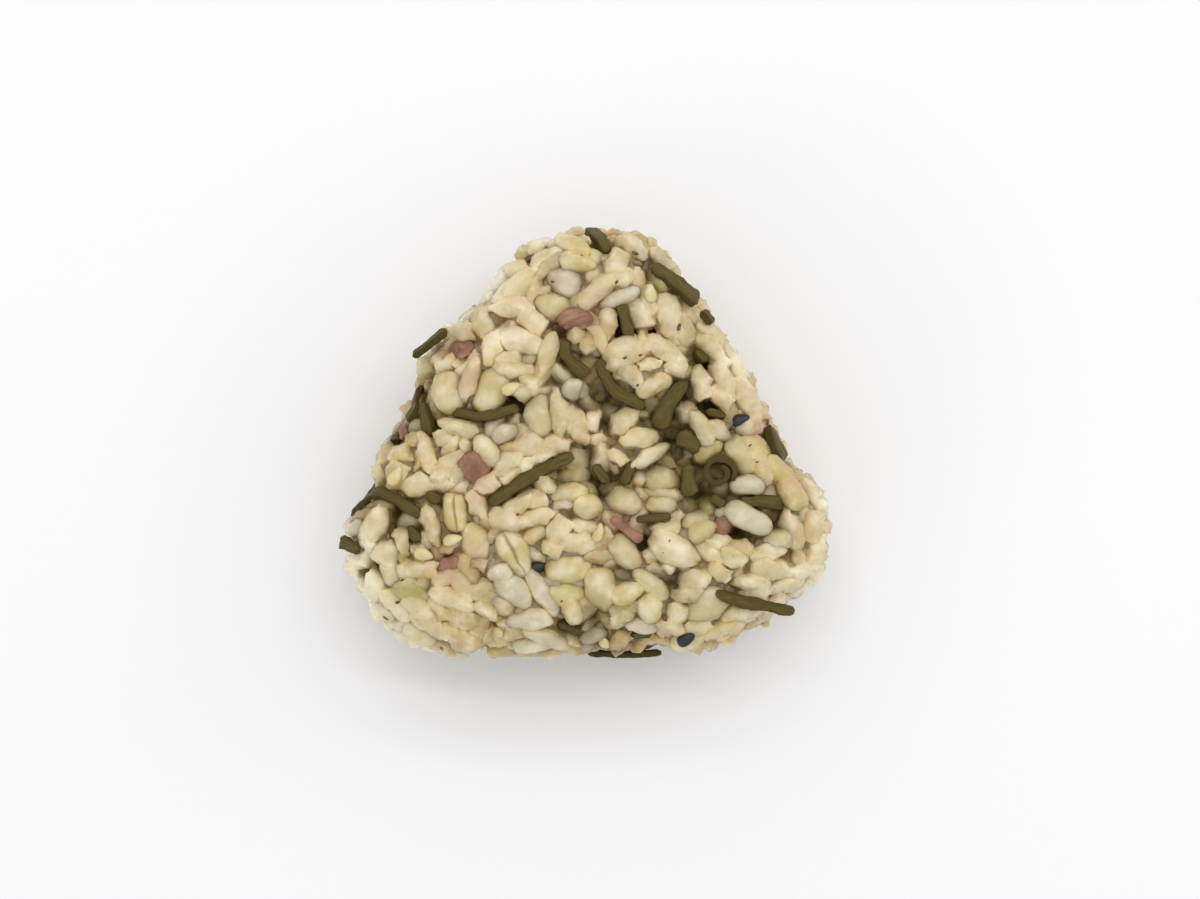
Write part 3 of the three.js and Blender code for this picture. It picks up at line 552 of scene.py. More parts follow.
def grain_material(name, pale, deep, mottle, bump, scatter, shine, spot=None):
    material, nodes = new_material(name)
    grain = nodes.add("ShaderNodeGroup", node_tree=STAINED_GRAIN)
    given = {"Pale": pale, "Deep": deep, "Mottle": mottle, "Bump": bump, "Shine": shine}
    for label, value in given.items():
        grain.inputs[label].default_value = value
    color = grain.outputs["Color"]
    if spot:
        color = nodes.mix(nodes.painted("mark"), color, spot)
    return close_material(material, nodes, {
        "Base Color": color,
        "Roughness": grain.outputs["Roughness"],
        "Specular IOR Level": 0.2,
        "Coat Weight": grain.outputs["Gloss"],
        "Coat Roughness": 0.2,
        "Normal": grain.outputs["Normal"],
        "Subsurface Weight": scatter,
        "Subsurface Radius": (0.8, 0.76, 0.66),
        "Subsurface Scale": 0.0036,
        "IOR": 1.42,
    })


def kelp_material():
    """Dark olive, with ribs and fine lines along the shred and darker rims."""
    material, nodes = new_material("kelp")
    place = nodes.place()
    across = nodes.painted("across")
    ribs_at = nodes.first("ShaderNodeCombineXYZ", {
        0: nodes.math("MULTIPLY", across, 1.1),
        1: nodes.math("MULTIPLY", nodes.painted("along"), 0.35),
    })
    ribs = nodes.noise(ribs_at, 1.3, 1.5)
    cloud = nodes.noise(place, 300, 3)
    color = nodes.mix(nodes.between(ribs, 0.3, 0.7), KELP_DARK, KELP_LIGHT)
    color = nodes.mix(nodes.between(cloud, 0.4, 0.7, 0, 0.5), color, KELP_BROWN)
    rim = nodes.between(nodes.math("ABSOLUTE", across), 0.5, 1.0, 0, 0.6)
    height = nodes.math("ADD", nodes.math("MULTIPLY", ribs, 2.0), nodes.noise(place, 1800))
    return close_material(material, nodes, {
        "Base Color": nodes.mix(rim, color, KELP_RIM),
        "Roughness": nodes.between(cloud, 0.3, 0.7, 0.35, 0.6),
        "Normal": nodes.bump(height, 0.4, 0.0001),
        "Specular IOR Level": 0.15,
    })


def plum_material():
    """Dusty rose flesh, cloudy and moist."""
    material, nodes = new_material("plum")
    place = nodes.place()
    cloud = nodes.noise(place, 420, 4)
    height = nodes.math("ADD", nodes.math("MULTIPLY", cloud, 2.0), nodes.noise(place, 1600, 3))
    return close_material(material, nodes, {
        "Base Color": nodes.mix(nodes.between(cloud, 0.35, 0.65), PLUM_DARK, PLUM_LIGHT),
        "Roughness": nodes.between(cloud, 0.3, 0.7, 0.3, 0.55),
        "Normal": nodes.bump(height, 0.6, 0.0003),
        "Subsurface Weight": 0.3,
        "Subsurface Scale": 0.0008,
    })


def plain_material(name, low, high, roughness, bump, scale, gloss=0.5):
    """Two mixed colours with a fine uneven surface, for seeds, crumbs and the core."""
    material, nodes = new_material(name)
    place = nodes.place()
    cloud = nodes.noise(place, scale, 3)
    fine = nodes.noise(place, 4 * scale, 3)
    return close_material(material, nodes, {
        "Base Color": nodes.mix(nodes.between(cloud, 0.35, 0.65), low, high),
        "Roughness": nodes.between(fine, 0.3, 0.7, roughness - 0.08, roughness + 0.08),
        "Normal": nodes.bump(fine, bump, 0.0001),
        "Specular IOR Level": gloss,
        "Subsurface Weight": 0.1,
        "Subsurface Scale": 0.0006,
    })


CREASE_BROWN = (0.25, 0.16, 0.06, 1)
rice_look = grain_material(
    "boiled rice", (0.645, 0.545, 0.32, 1), (0.42, 0.30, 0.10, 1), 0.35, 0.9, 0.9, 0.35
)
barley_look = grain_material(
    "pearl barley", (0.63, 0.53, 0.255, 1), (0.51, 0.39, 0.135, 1), 0.3, 0.7, 0.9, 0.35, CREASE_BROWN
)
clear_look = grain_material(
    "glassy rice", (0.60, 0.54, 0.38, 1), (0.45, 0.38, 0.23, 1), 0.3, 0.8, 0.9, 0.6
)
# The starch is coloured darker than the grains, as painted shade in the joins between them.
starch_look = grain_material(
    "boiled starch", (0.45, 0.32, 0.11, 1), (0.32, 0.22, 0.065, 1), 0.4, 1.0, 0.8, 0.05
)
kelp_look = kelp_material()
plum_look = plum_material()
# The core is coloured dark brown as painted shade in the holes between the grains.
core_look = plain_material(
    "pressed rice", (0.075, 0.05, 0.014, 1), (0.19, 0.135, 0.05, 1), 0.7, 0.4, 300, 0.05
)
white_sesame_look = plain_material(
    "white sesame", (0.62, 0.50, 0.22, 1), (0.74, 0.63, 0.34, 1), 0.35, 0.3, 500
)
black_sesame_look = plain_material(
    "black sesame", (0.009, 0.009, 0.009, 1), (0.02, 0.019, 0.018, 1), 0.45, 0.4, 500
)
fleck_look = plain_material("husk fleck", (0.09, 0.045, 0.02, 1), (0.22, 0.11, 0.05, 1), 0.5, 0.3, 900)


# ---- Shapes of one grain, each 1 long, 1 wide and 1 thick ----

def capped_rings(rings, turns):
    """The faces of a closed shape whose points are one end, its rings in order and the other end."""
    faces = []
    for ring in range(rings - 1):
        for i in range(turns):
            a = 1 + ring * turns + i
            b = 1 + ring * turns + (i + 1) % turns
            faces.append((a, b, b + turns, a + turns))
    last = 1 + (rings - 1) * turns
    for i in range(turns):
        j = (i + 1) % turns
        faces.append((0, 1 + j, 1 + i))
        faces.append((last + turns, last + i, last + j))
    return faces


def grain_shape(name, rings, turns, taper=0.0, bend=0.0, full=2.3, cut=1.0, notch=0.0, crease=0.0):
    """A grain along X. cut is where its end is cut off, and notch bites into that end."""
    angles = np.linspace(0, 2 * math.pi, turns, endpoint=False)
    if crease:
        # narrower faces where the crease runs, along +Z
        angles = angles + 0.68 * np.cos(angles) * np.exp(-((np.sin(angles) - 1) ** 2) / 0.6)
    up, across = np.sin(angles), np.cos(angles)
    shares = -np.cos(np.linspace(0, math.pi, rings + 2))[1:-1]
    rows = []
    marks = []
    for share in np.minimum(shares, cut):
        radius = 0.5 * (1 - abs(share) ** full) ** (1 / 2.1) * (1 - taper * share)
        groove = np.exp(-((1 - up) / 0.008)) * (1 - share ** 6)
        bite = notch * np.exp(-(((share - 0.8) / 0.25) ** 2)) * np.maximum(0, across)
        reach = radius * (1 - crease * groove - bite)
        rows += [
            (0.5 * share, reach[i] * across[i] + bend * (1 - share ** 2), reach[i] * up[i])
            for i in range(turns)
        ]
        marks += list(groove if crease else 0 * groove)
    points = [(-0.5, 0, 0), *rows, (0.5 * min(1.0, cut), 0, 0)]
    mesh = new_mesh(name, points, [], capped_rings(rings, turns))
    set_attribute(mesh, "mark", [0, *marks, 0])
    return bpy.data.objects.new(name, mesh)


def shape_set(name, rings, turns, shapes):
    collection = bpy.data.collections.new(name)
    bpy.context.scene.collection.children.link(collection)
    for i, settings in enumerate(shapes):
        collection.objects.link(grain_shape(f"{name}_{i}", rings, turns, **settings))
    return collection


rice_shapes = shape_set("rice_shape", 9, 12, [
    dict(taper=0.12, bend=0.03),
    dict(taper=-0.2, bend=0.07, full=1.8),
    dict(taper=0.05, bend=-0.05, full=2.8, notch=0.4),
    dict(taper=0.3, bend=0.04, full=1.6),
    dict(taper=0.1, bend=0.02, cut=0.5),
    dict(taper=-0.1, bend=0.1, full=2.0, notch=0.55),
])
clear_shapes = shape_set("clear_shape", 10, 14, [
    dict(taper=0.1, bend=0.03, full=2.4),
    dict(taper=-0.12, bend=0.06),
])
barley_shapes = shape_set("barley_shape", 10, 18, [
    dict(taper=0.05, full=2.2, crease=0.34),
    dict(taper=0.16, full=2.0, crease=0.28),
    dict(taper=-0.08, full=2.6, crease=0.36),
])
sesame_shapes = shape_set("sesame_shape", 7, 10, [dict(taper=0.35, full=2.0)])
bit_shapes = shape_set("bit_shape", 6, 8, [
    dict(taper=0.2, full=1.7),
    dict(taper=-0.15, bend=0.08, cut=0.4),
    dict(taper=0.3, full=1.5, notch=0.4),
])
fleck_shapes = shape_set("fleck_shape", 3, 6, [dict(full=2.0), dict(taper=0.3, full=1.6)])


def pressed_grains_tree():
    nodes, given = new_group(
        "pressed grains", "GeometryNodeTree",
        {
            "Points": ("Geometry",), "Shapes": ("Collection",), "Unevenness": ("Float", 0.0),
            "Lump Size": ("Float", 0.003), "Finish": ("Material",),
        },
        {"Grains": "Geometry"},
    )
    shapes = nodes.first(
        "GeometryNodeCollectionInfo",
        {"Collection": given["Shapes"], "Separate Children": True, "Reset Children": True},
    )
    grains = nodes.first("GeometryNodeInstanceOnPoints", {
        "Points": given["Points"],
        "Instance": shapes,
        "Pick Instance": True,
        "Instance Index": nodes.stored("shape", "INT"),
        "Rotation": nodes.stored("turn", "QUATERNION"),
        "Scale": nodes.stored("size", "FLOAT_VECTOR"),
    })
    grains = nodes.first("GeometryNodeRealizeInstances", {"Geometry": grains})
    position = nodes.first("GeometryNodeInputPosition")
    lumps = nodes.noise(position, nodes.math("DIVIDE", 1.0, given["Lump Size"]), output="Color")
    push = nodes.vector_math("SUBTRACT", lumps, (0.5, 0.5, 0.5))
    push = nodes.vector_math("SCALE", push, given["Unevenness"])
    grains = nodes.first("GeometryNodeSetPosition", {"Geometry": grains, "Offset": push})
    grains = nodes.first("GeometryNodeSetShadeSmooth", {"Geometry": grains})
    grains = nodes.first(
        "GeometryNodeSetMaterial", {"Geometry": grains, "Material": given["Finish"]}
    )
    return finish_group(nodes, {"Grains": grains})


PRESSED_GRAINS = pressed_grains_tree()


def grains_piece(name, grains, shapes, finish, unevenness, lump_size):
    """One mesh of all the grains of a kind. grains is a dict of arrays, in millimetres."""
    piece = piece_from(name, grains["centre"] * MM, [])
    across = crossed(grains["up"], grains["along"])
    up = crossed(grains["along"], across)
    turns = [
        Matrix(np.array(axes).T.tolist()).to_quaternion()[:]
        for axes in zip(grains["along"], across, up)
    ]
    set_attribute(piece.data, "turn", turns, "QUATERNION")
    set_attribute(piece.data, "size", grains["size"] * MM, "FLOAT_VECTOR")
    set_attribute(piece.data, "shape", random.integers(0, len(shapes.objects), len(across)), "INT")
    set_attribute(piece.data, "tint", grains["tint"])
    set_attribute(piece.data, "hue", random.random(len(across)))
    return baked(piece, PRESSED_GRAINS, {
        "Shapes": shapes, "Unevenness": unevenness * MM, "Lump Size": lump_size * MM, "Finish": finish,
    })


# ---- Kelp shreds and plum, from the solids of the frame ----

SHARP_CORNER = math.radians(68)
STAYS_SHARP = 0.55  # edges of a shred that turn more than this, in radians, are shaded sharp
BREADTHS = {  # of a shred at both its ends
    "kelp_broad": (1.15, 0.6), "kelp_shoulder": (1.1, 0.9), "kelp_right_rim": (1.3, 1.5),
}
COIL_SHARE = 0.9  # the rolled-up shred is this share of its solid's thickness, so its turns part
SHRED_ROUNDING = 0.12  # of its thickness
PLUM_SUNK = 0.35
PLUM_FLATTENED = 0.6
PLUM_WAVES = ((0.5, 0.8), (0.35, 1.7), (0.12, 3.2))  # height, and how closely they follow


def merged_copy(node):
    mesh = bmesh.new()
    mesh.from_mesh(node.data)
    bmesh.ops.remove_doubles(mesh, verts=mesh.verts, dist=1e-6)
    return mesh


def sections_of(node):
    """The four corners of each cross-section of a shred, in order along it, in millimetres."""
    mesh = merged_copy(node)
    near = {}
    for edge in mesh.edges:
        if edge.calc_face_angle(0) > SHARP_CORNER:
            a, b = edge.verts
            near.setdefault(a, []).append(b)
            near.setdefault(b, []).append(a)
    is_end = lambda v: len(near[v]) == 3
    first = min((v for v in near if is_end(v)), key=lambda v: v.index)
    start = [first] + [v for v in near[first] if is_end(v)]
    opposite = next(v for v in near[start[1]] if is_end(v) and v not in start)
    chains = []
    for corner in (start[0], start[1], opposite, start[2]):
        chain = [corner]
        step = next(v for v in near[corner] if not is_end(v))
        while not is_end(step):
            ahead = next(v for v in near[step] if v is not chain[-1])
            chain.append(step)
            step = ahead
        chains.append([np.array(v.co) / MM for v in (*chain, step)])
    mesh.free()
    return np.array(chains).transpose(1, 0, 2)


def shred_tree():
    nodes, given = new_group(
        "kelp shred", "GeometryNodeTree",
        {
            "Path": ("Geometry",), "Width": ("Float", 0.002), "Thickness": ("Float", 0.001),
            "Edge Radius": ("Float", 0.0003), "Spacing": ("Float", 0.0004),
            "Unevenness": ("Float", 0.00065), "Rib Depth": ("Float", 0.00004),
            "End Share": ("Float", 0.45), "Finish": ("Material",),
        },
        {"Shred": "Geometry"},
    )
    store = lambda shape, name, value: nodes.first(
        "GeometryNodeStoreNamedAttribute", {"Geometry": shape, "Name": name, "Value": value},
        data_type="FLOAT", domain="POINT",
    )
    curve = nodes.first("GeometryNodeMeshToCurve", {"Mesh": given["Path"]})
    curve = nodes.first("GeometryNodeCurveSplineType", {"Curve": curve}, spline_type="CATMULL_ROM")
    curve = nodes.first(
        "GeometryNodeResampleCurve", {"Curve": curve, "Length": given["Spacing"]}, mode="LENGTH"
    )
    side = nodes.stored("side", "FLOAT_VECTOR")
    curve = nodes.first("GeometryNodeSetCurveNormal", {"Curve": curve, "Normal": side}, mode="FREE")
    length = nodes.add("GeometryNodeSplineParameter").outputs["Length"]
    curve = store(curve, "along", nodes.math("DIVIDE", length, MM))
    share = nodes.add("GeometryNodeSplineParameter").outputs["Factor"]
    off_middle = nodes.math("SUBTRACT", nodes.math("MULTIPLY", share, 2.0), 1.0)
    off_middle = nodes.math("POWER", nodes.math("ABSOLUTE", off_middle), 16.0)
    ends = nodes.between(off_middle, 0, 1, 1, given["End Share"])
    position = nodes.first("GeometryNodeInputPosition")
    wave = nodes.between(nodes.noise(position, 260, 1.0), 0.3, 0.7, 0.78, 1.14)
    scale = nodes.math("MULTIPLY", nodes.math("MULTIPLY", ends, wave), nodes.stored("breadth"))
    profile = nodes.first(
        "GeometryNodeCurvePrimitiveQuadrilateral",
        {"Width": given["Width"], "Height": given["Thickness"]},
    )
    profile = nodes.first(
        "GeometryNodeFilletCurve",
        {"Curve": profile, "Radius": given["Edge Radius"], "Count": 2}, mode="POLY",
    )
    profile = nodes.first("GeometryNodeResampleCurve", {"Curve": profile, "Count": 28}, mode="COUNT")
    out = nodes.first("ShaderNodeSeparateXYZ", {0: position})
    half_width = nodes.math("DIVIDE", given["Width"], 2.0)
    profile = store(profile, "across", nodes.math("DIVIDE", out, half_width))
    strip = nodes.first(
        "GeometryNodeCurveToMesh",
        {"Curve": curve, "Profile Curve": profile, "Scale": scale, "Fill Caps": True},
    )
    ribs = nodes.math("SINE", nodes.math("MULTIPLY", nodes.stored("across"), 7.0))
    rib = nodes.math("MULTIPLY", ribs, given["Rib Depth"])
    ribbed = nodes.vector_math("SCALE", nodes.first("GeometryNodeInputNormal"), rib)
    lumps = nodes.noise(position, 650, 3.0, "Color")
    wobble = nodes.vector_math("SUBTRACT", lumps, (0.5, 0.5, 0.5))
    wobble = nodes.vector_math("SCALE", wobble, given["Unevenness"])
    offset = nodes.vector_math("ADD", ribbed, wobble)
    strip = nodes.first("GeometryNodeSetPosition", {"Geometry": strip, "Offset": offset})
    strip = nodes.first("GeometryNodeSetShadeSmooth", {"Geometry": strip})
    angle = nodes.first("GeometryNodeInputMeshEdgeAngle")
    edge = nodes.math("GREATER_THAN", angle, STAYS_SHARP)
    strip = nodes.first(
        "GeometryNodeSetShadeSmooth",
        {"Geometry": strip, "Selection": edge, "Shade Smooth": False}, domain="EDGE",
    )
    strip = nodes.first("GeometryNodeSetMaterial", {"Geometry": strip, "Material": given["Finish"]})
    return finish_group(nodes, {"Shred": strip})


SHRED = shred_tree()


def shred_piece(name, node, finish):
    corners = sections_of(node)
    centre = corners.mean(1)
    one = corners[:, 0] + corners[:, 3] - corners[:, 1] - corners[:, 2]
    other = corners[:, 0] + corners[:, 1] - corners[:, 2] - corners[:, 3]
    lengths = [np.linalg.norm(side, axis=1)[1:-1].mean() / 2 for side in (one, other)]
    wide = one if lengths[0] > lengths[1] else other
    width, thickness = max(lengths), min(lengths)
    if node.name == "kelp_coil":
        thickness *= COIL_SHARE
    ahead = np.gradient(centre, axis=0)
    up = crossed(wide, ahead)
    edges = [(i, i + 1) for i in range(len(centre) - 1)]
    mesh = new_mesh(name, centre * MM, edges, [])
    set_attribute(mesh, "side", crossed(ahead, up), "FLOAT_VECTOR")
    first, last = BREADTHS.get(node.name, (1, 1))
    set_attribute(mesh, "breadth", np.linspace(first, last, len(centre)))
    return baked(add_object(name, mesh), SHRED, {
        "Width": width * MM, "Thickness": thickness * MM, "Finish": finish,
        "Edge Radius": SHRED_ROUNDING * thickness * MM,
    })


def plum_piece(name, node, finish):
    mesh = merged_copy(node)
    bmesh.ops.subdivide_edges(mesh, edges=mesh.edges, cuts=3, use_grid_fill=True, smooth=1.0)
    mesh.normal_update()
    made = bpy.data.meshes.new(name)
    mesh.to_mesh(made)
    mesh.free()
    points = points_of(made)
    middle = points.mean(0)
    out = outline_distance(middle[None])[1][0]
    points -= PLUM_FLATTENED * ((points - middle) @ out)[:, None] * out + PLUM_SUNK * out
    normals = np.array([v.normal for v in made.vertices])
    wave = sum(
        share * np.sin(points @ random.normal(0, pitch, 3) + random.uniform(0, 6))
        for share, pitch in PLUM_WAVES
    )
    set_points(made, points + normals * wave[:, None])
    finish_mesh(made, finish)
    return add_object(name, made)


shreds = {}
plums = {}
for node_name, node in sorted(frame["nodes"].items()):
    if node_name.startswith("kelp"):
        shreds[node_name] = shred_piece(node_name + "_shred", node, kelp_look)
    elif node_name == "plum_strand":
        plums[node_name] = shred_piece(node_name + "_flesh", node, plum_look)
    elif node_name.startswith("plum"):
        plums[node_name] = plum_piece(node_name + "_flesh", node, plum_look)

# ---- Pressing the grains together ----

BEADS = np.array([-1.0, 0.0, 1.0])  # each grain is three balls along its length
END_COVERED = 0.7  # grains may lie over this much of a shred's ends
NEAR = 0.55  # about half the thickness of a shred
OBSTACLE_POINTS = 120  # about as many as are kept of each shred and plum
KEPT_HEIGHTS = (0, 0.8, 1.6)  # grains keep off the shreds up to this high over them
GAP_DEPTHS = (0, 1, 2)
PLUM_SHARES = {  # how much of a plum is kept clear of grains
    "plum_apex": 0.6, "plum_coil": 0.6, "plum_fork": 0.6, "plum_left": 0.7,
    "plum_low": 0.05, "plum_middle": 0.05, "plum_rim": 0.7, "plum_strand": 0.7,
}
PUSH = 1.4  # how many touches a grain follows in full
BACK_IN = 0.9  # of the way into the shell in each round
TURNING = 0.8
HALF_REACH_ADDED = 1.4  # from the middle of an added grain to its end balls
BURIED = (  # shreds that grains may lie over
    "kelp_upper_left", "kelp_left_chip", "kelp_right_sliver", "kelp_left_nick", "kelp_apex_left",
)


def between_ends(mesh):
    """Whether each point of a shred lies off its ends, which may be covered."""
    along = np.empty(len(mesh.vertices), np.float32)
    mesh.attributes["along"].data.foreach_get("value", along)
    return (along > END_COVERED) & (along < along.max() - END_COVERED)


def obstacle_points():
    """Points of the shreds and plum, and above them up to the outline of the ball."""
    found = []
    low = []
    for node_name, piece in {**shreds, **plums}.items():
        points = points_of(piece.data)
        if "along" in piece.data.attributes:
            points = points[between_ends(piece.data)]
        points = points[:: max(1, len(points) // OBSTACLE_POINTS)]
        middle = points.mean(0)
        points = middle + PLUM_SHARES.get(node_name, 1.0) * (points - middle)
        (low if node_name in BURIED else found).append(points)
    for x, y, radius in GAPS:
        place = seen_from_camera(np.array([x]), np.array([y]))
        ring = np.linspace(0, 2 * math.pi, 9)[:-1]
        edge = np.stack([np.cos(ring), np.sin(ring), 0 * ring], axis=1) * max(0, radius - NEAR)
        found += [place + edge - (0, 0, depth) for depth in GAP_DEPTHS]
    points = np.concatenate(found)
    out = outline_distance(points)[1]
    return np.concatenate([*(points + height * out for height in KEPT_HEIGHTS), *low])


def hand_placed():
    rows = []
    for kind, creased, listed in (
        (RICE, 0, WHITE), (BARLEY, 0, PLUMP), (BARLEY, 1, CREASED), (CLEAR, 0, GLASSY),
    ):
        rows += [(kind, creased, *row) for row in listed]
    kind, creased, x, y, length, width, turn, tint, rise = np.array(rows).T
    place = seen_from_camera(x, y)
    out = outline_distance(place)[1]
    heading = np.stack([np.cos(np.radians(turn)), np.sin(np.radians(turn)), 0 * turn], axis=1)
    thickness = PLACED_THICKNESS * width
    lift = rise + random.uniform(*PLACED_LIFTS, len(rise))
    facing = np.where((kind == BARLEY) & (creased == 0), -1, 1)
    return {
        "centre": place - (thickness / 2 - lift)[:, None] * out,
        "along": laid_flat(heading, out),
        "up": facing[:, None] * out,
        "size": PLACED_SIZE * np.stack([length, width, thickness], axis=1),
        "kind": kind.astype(int),
        "tint": tint,
        "give": np.full(len(rows), HELD),
        "proud": lift,
    }


def start_grains():
    """Grains at random places in the shell, lying mostly along the surface."""
    wanted = sum(KIND_COUNTS.values())
    centre = random_places(wanted, 4000, REGION[1][2], SHELL_MARGIN - SHELL, -START_DEPTH)
    kind = np.repeat(list(KIND_COUNTS), list(KIND_COUNTS.values()))
    out = outline_distance(centre)[1]
    along = laid_flat(random.normal(0, 1, (wanted, 3)), out, LYING)

    def drawn(ranges):
        barley = random.uniform(*ranges[BARLEY], wanted)
        return np.where(kind == BARLEY, barley, random.uniform(*ranges[RICE], wanted))

    length = drawn(LENGTHS)
    broken = (kind == RICE) & (random.random(wanted) < BROKEN_SHARE)
    length[broken] = random.uniform(*BROKEN_LENGTHS, broken.sum())
    width = drawn(WIDTHS)
    thickness = width * drawn(THICKNESSES)
    facing = np.where(kind == BARLEY, -1.0, 1.0)
    return {
        "centre": centre, "along": along, "kind": kind,
        "size": np.stack([length, width, thickness], axis=1),
        "up": facing[:, None] * out + random.normal(0, 0.7, (wanted, 3)),
        "tint": random.beta(1.6, 2.2, wanted) + 0.25 * (np.hypot(*centre[:, :2].T) / 30) ** 3,
        "give": np.ones(wanted),
        "proud": PROUD - SUNK * random.random(wanted) ** 1.3 - (out[:, 2] > 0.6) * UPPER_SUNK,
    }


def half_reach(grains):
    return (grains["size"][:, 0] - grains["size"][:, 1])[:, None] / 2


def beads_of(grains):
    """The middles of the three balls of each grain."""
    along = half_reach(grains) * grains["along"]
    return grains["centre"][:, None] + BEADS[None, :, None] * along[:, None]


def pairs_within(a, b, reach):
    """The pairs of points of a and b that are about that near each other."""
    a, b = a.astype(np.float32), b.astype(np.float32)
    apart = np.sum(a ** 2, axis=1)[:, None] + np.sum(b ** 2, axis=1)[None] - 2 * a @ b.T
    return np.nonzero(apart < reach ** 2)


def parted(gap, room, share):
    """How far each pair overlaps, and a step that parts it by that share."""
    distance = np.maximum(np.linalg.norm(gap, axis=1), 1e-6)
    overlap = np.maximum(0, room - distance)
    return overlap > 0, gap * (share * overlap / distance)[:, None]


def summed(owners, steps, count):
    return np.stack([np.bincount(owners, steps[:, axis], count) for axis in range(3)], axis=1)


def press(grains, obstacles):
    centre, along = grains["centre"], grains["along"]
    radius = np.repeat(grains["size"][:, 1] / 2 * SOFTNESS, 3)
    owner = np.repeat(np.arange(len(centre)), 3)
    proud = np.repeat(grains["proud"], 3)
    free = grains["give"][:, None]
    count = len(owner)
    for turn in range(ROUNDS):
        beads = beads_of(grains).reshape(-1, 3)
        if turn % SEARCH_EVERY == 0:
            first, second = pairs_within(beads, beads, NEIGHBOURS)
            keep = (first < second) & (owner[first] != owner[second])
            first, second = first[keep], second[keep]
            near_bead, near_obstacle = pairs_within(beads, obstacles, OBSTACLES_NEAR)
        touching, step = parted(beads[first] - beads[second], radius[first] + radius[second], 0.5)
        push = summed(first, step, count) - summed(second, step, count)
        touches = np.full(count, 1e-6)
        touches += np.bincount(first[touching], minlength=count)
        touches += np.bincount(second[touching], minlength=count)
        gap = beads[near_bead] - obstacles[near_obstacle]
        touching, step = parted(gap, radius[near_bead] + NEAR, 1.0)
        push += summed(near_bead, step, count)
        touches += np.bincount(near_bead[touching], minlength=count)
        push *= (PUSH / np.maximum(touches, PUSH))[:, None]
        outside, out = outline_distance(beads)
        over = np.maximum(0, outside + radius / SOFTNESS - proud)
        under = np.maximum(0, -SHELL + radius - outside)
        push += (BACK_IN * (under - over))[:, None] * out
        push = push.reshape(-1, 3, 3)
        centre += free * push.mean(1)
        turned = (push[:, 2] - push[:, 0]) / np.maximum(2 * half_reach(grains), 1.0)
        along += free * TURNING * (turned - np.sum(turned * along, axis=1)[:, None] * along)
        along /= np.linalg.norm(along, axis=1)[:, None]
    return grains


def uncovered(grains):
    """The grains without those that lie wholly under the others."""
    distance = outline_distance(beads_of(grains).reshape(-1, 3))[0]
    depth = -distance.reshape(-1, 3).max(1)
    open_above = stain(grains["centre"], [(x, y, 22, 1.8 + radius, 1) for x, y, radius in GAPS])
    kept = depth - grains["size"][:, 1] / 2 < COVERED + UNDER_GAPS * open_above
    return {name: values[kept] for name, values in grains.items()}


def nearest(places, points):
    """How far each place is from the nearest of the points."""
    tree = KDTree(len(points))
    for i, point in enumerate(points):
        tree.insert(Vector(point), i)
    tree.balance()
    return np.array([tree.find(Vector(place))[2] for place in places])


def topped_up(grains, obstacles):
    """The grains, and more of them in the openings that are left in their skin."""
    tries = random.uniform(*REGION, (OPENING_TRIES, 3))
    distance, out = outline_distance(tries)
    in_skin = (distance > SKIN[0]) & (distance < SKIN[1])
    places, out = tries[in_skin], out[in_skin]
    clear = nearest(places, beads_of(grains).reshape(-1, 3))
    clear[nearest(places, obstacles) < KEPT_OPEN] = 0
    rows = []
    while clear.max() > OPENING:
        i = clear.argmax()
        along = np.cross(out[i], random.normal(0, 1, 3))
        along /= np.linalg.norm(along)
        rows.append((places[i], along, out[i]))
        for bead in BEADS:
            apart = places - places[i] - bead * HALF_REACH_ADDED * along
            clear = np.minimum(clear, np.linalg.norm(apart, axis=1))
    count = len(rows)
    if not count:
        return grains
    centre, along, up = (np.array(part) for part in zip(*rows))
    width = random.uniform(*ADDED_WIDTHS, count)
    length = width + 2 * HALF_REACH_ADDED
    added = {
        "centre": centre, "along": along, "up": up, "kind": np.full(count, RICE),
        "size": np.stack([length, width, ADDED_THICKNESS * width], axis=1),
        "tint": random.beta(1.6, 2.2, count), "give": np.ones(count), "proud": np.zeros(count),
    }
    return {name: np.concatenate([values, added[name]]) for name, values in grains.items()}


obstacles = obstacle_points()
placed, loose = hand_placed(), start_grains()
grains = {name: np.concatenate([placed[name], loose[name]]) for name in placed}
grains = topped_up(uncovered(press(grains, obstacles)), obstacles)


def of_kind(kind):
    chosen = grains["kind"] == kind
    return {name: values[chosen] for name, values in grains.items()}


# the last two values are how uneven the grains are and the size of their lumps
rice = grains_piece("rice_grains", of_kind(RICE), rice_shapes, rice_look, 2.3, 1.7)
clear = grains_piece("glassy_grains", of_kind(CLEAR), clear_shapes, clear_look, 1.4, 2.2)
barley = grains_piece("barley_grains", of_kind(BARLEY), barley_shapes, barley_look, 1.5, 2.4)

# ---- The core under the grains, coloured dark brown as painted shade ----

def core_piece(rings=70, turns=140):
    """The ball, CORE_DEPTH smaller all round and a little lumpy."""
    angles = np.linspace(0, math.pi, rings + 2)[1:-1]
    bearings = np.linspace(0, 2 * math.pi, turns, endpoint=False)
    points = [(0, 0, CORE_DEPTH)]
    for angle in angles:
        out, up = math.sin(angle), -math.cos(angle)
        reach = (abs(out) ** EDGE_POWER + abs(up) ** EDGE_POWER) ** (-1 / EDGE_POWER)
        radius = reach * out * (outline_radius(bearings) - CORE_DEPTH)
        x, y = radius * np.cos(bearings), radius * np.sin(bearings)
        height = HALF_THICKNESS + reach * up * (HALF_THICKNESS - CORE_DEPTH)
        z = height - (hollow_depth(x, y) if up > 0 else 0 * x)
        points += zip(x, y, z)
    points.append((0, 0, 2 * HALF_THICKNESS - CORE_DEPTH))
    points = np.array(points)
    lumps = sum(
        np.sin(points @ random.normal(0, 1.1, 3) + random.uniform(0, 6)) for _ in range(8)
    )
    points = points + CORE_LUMPS * lumps[:, None] * outline_distance(points)[1]
    piece = piece_from("pressed_core", points * MM, capped_rings(rings, turns))
    finish_mesh(piece.data, core_look)
    return piece


core = core_piece()
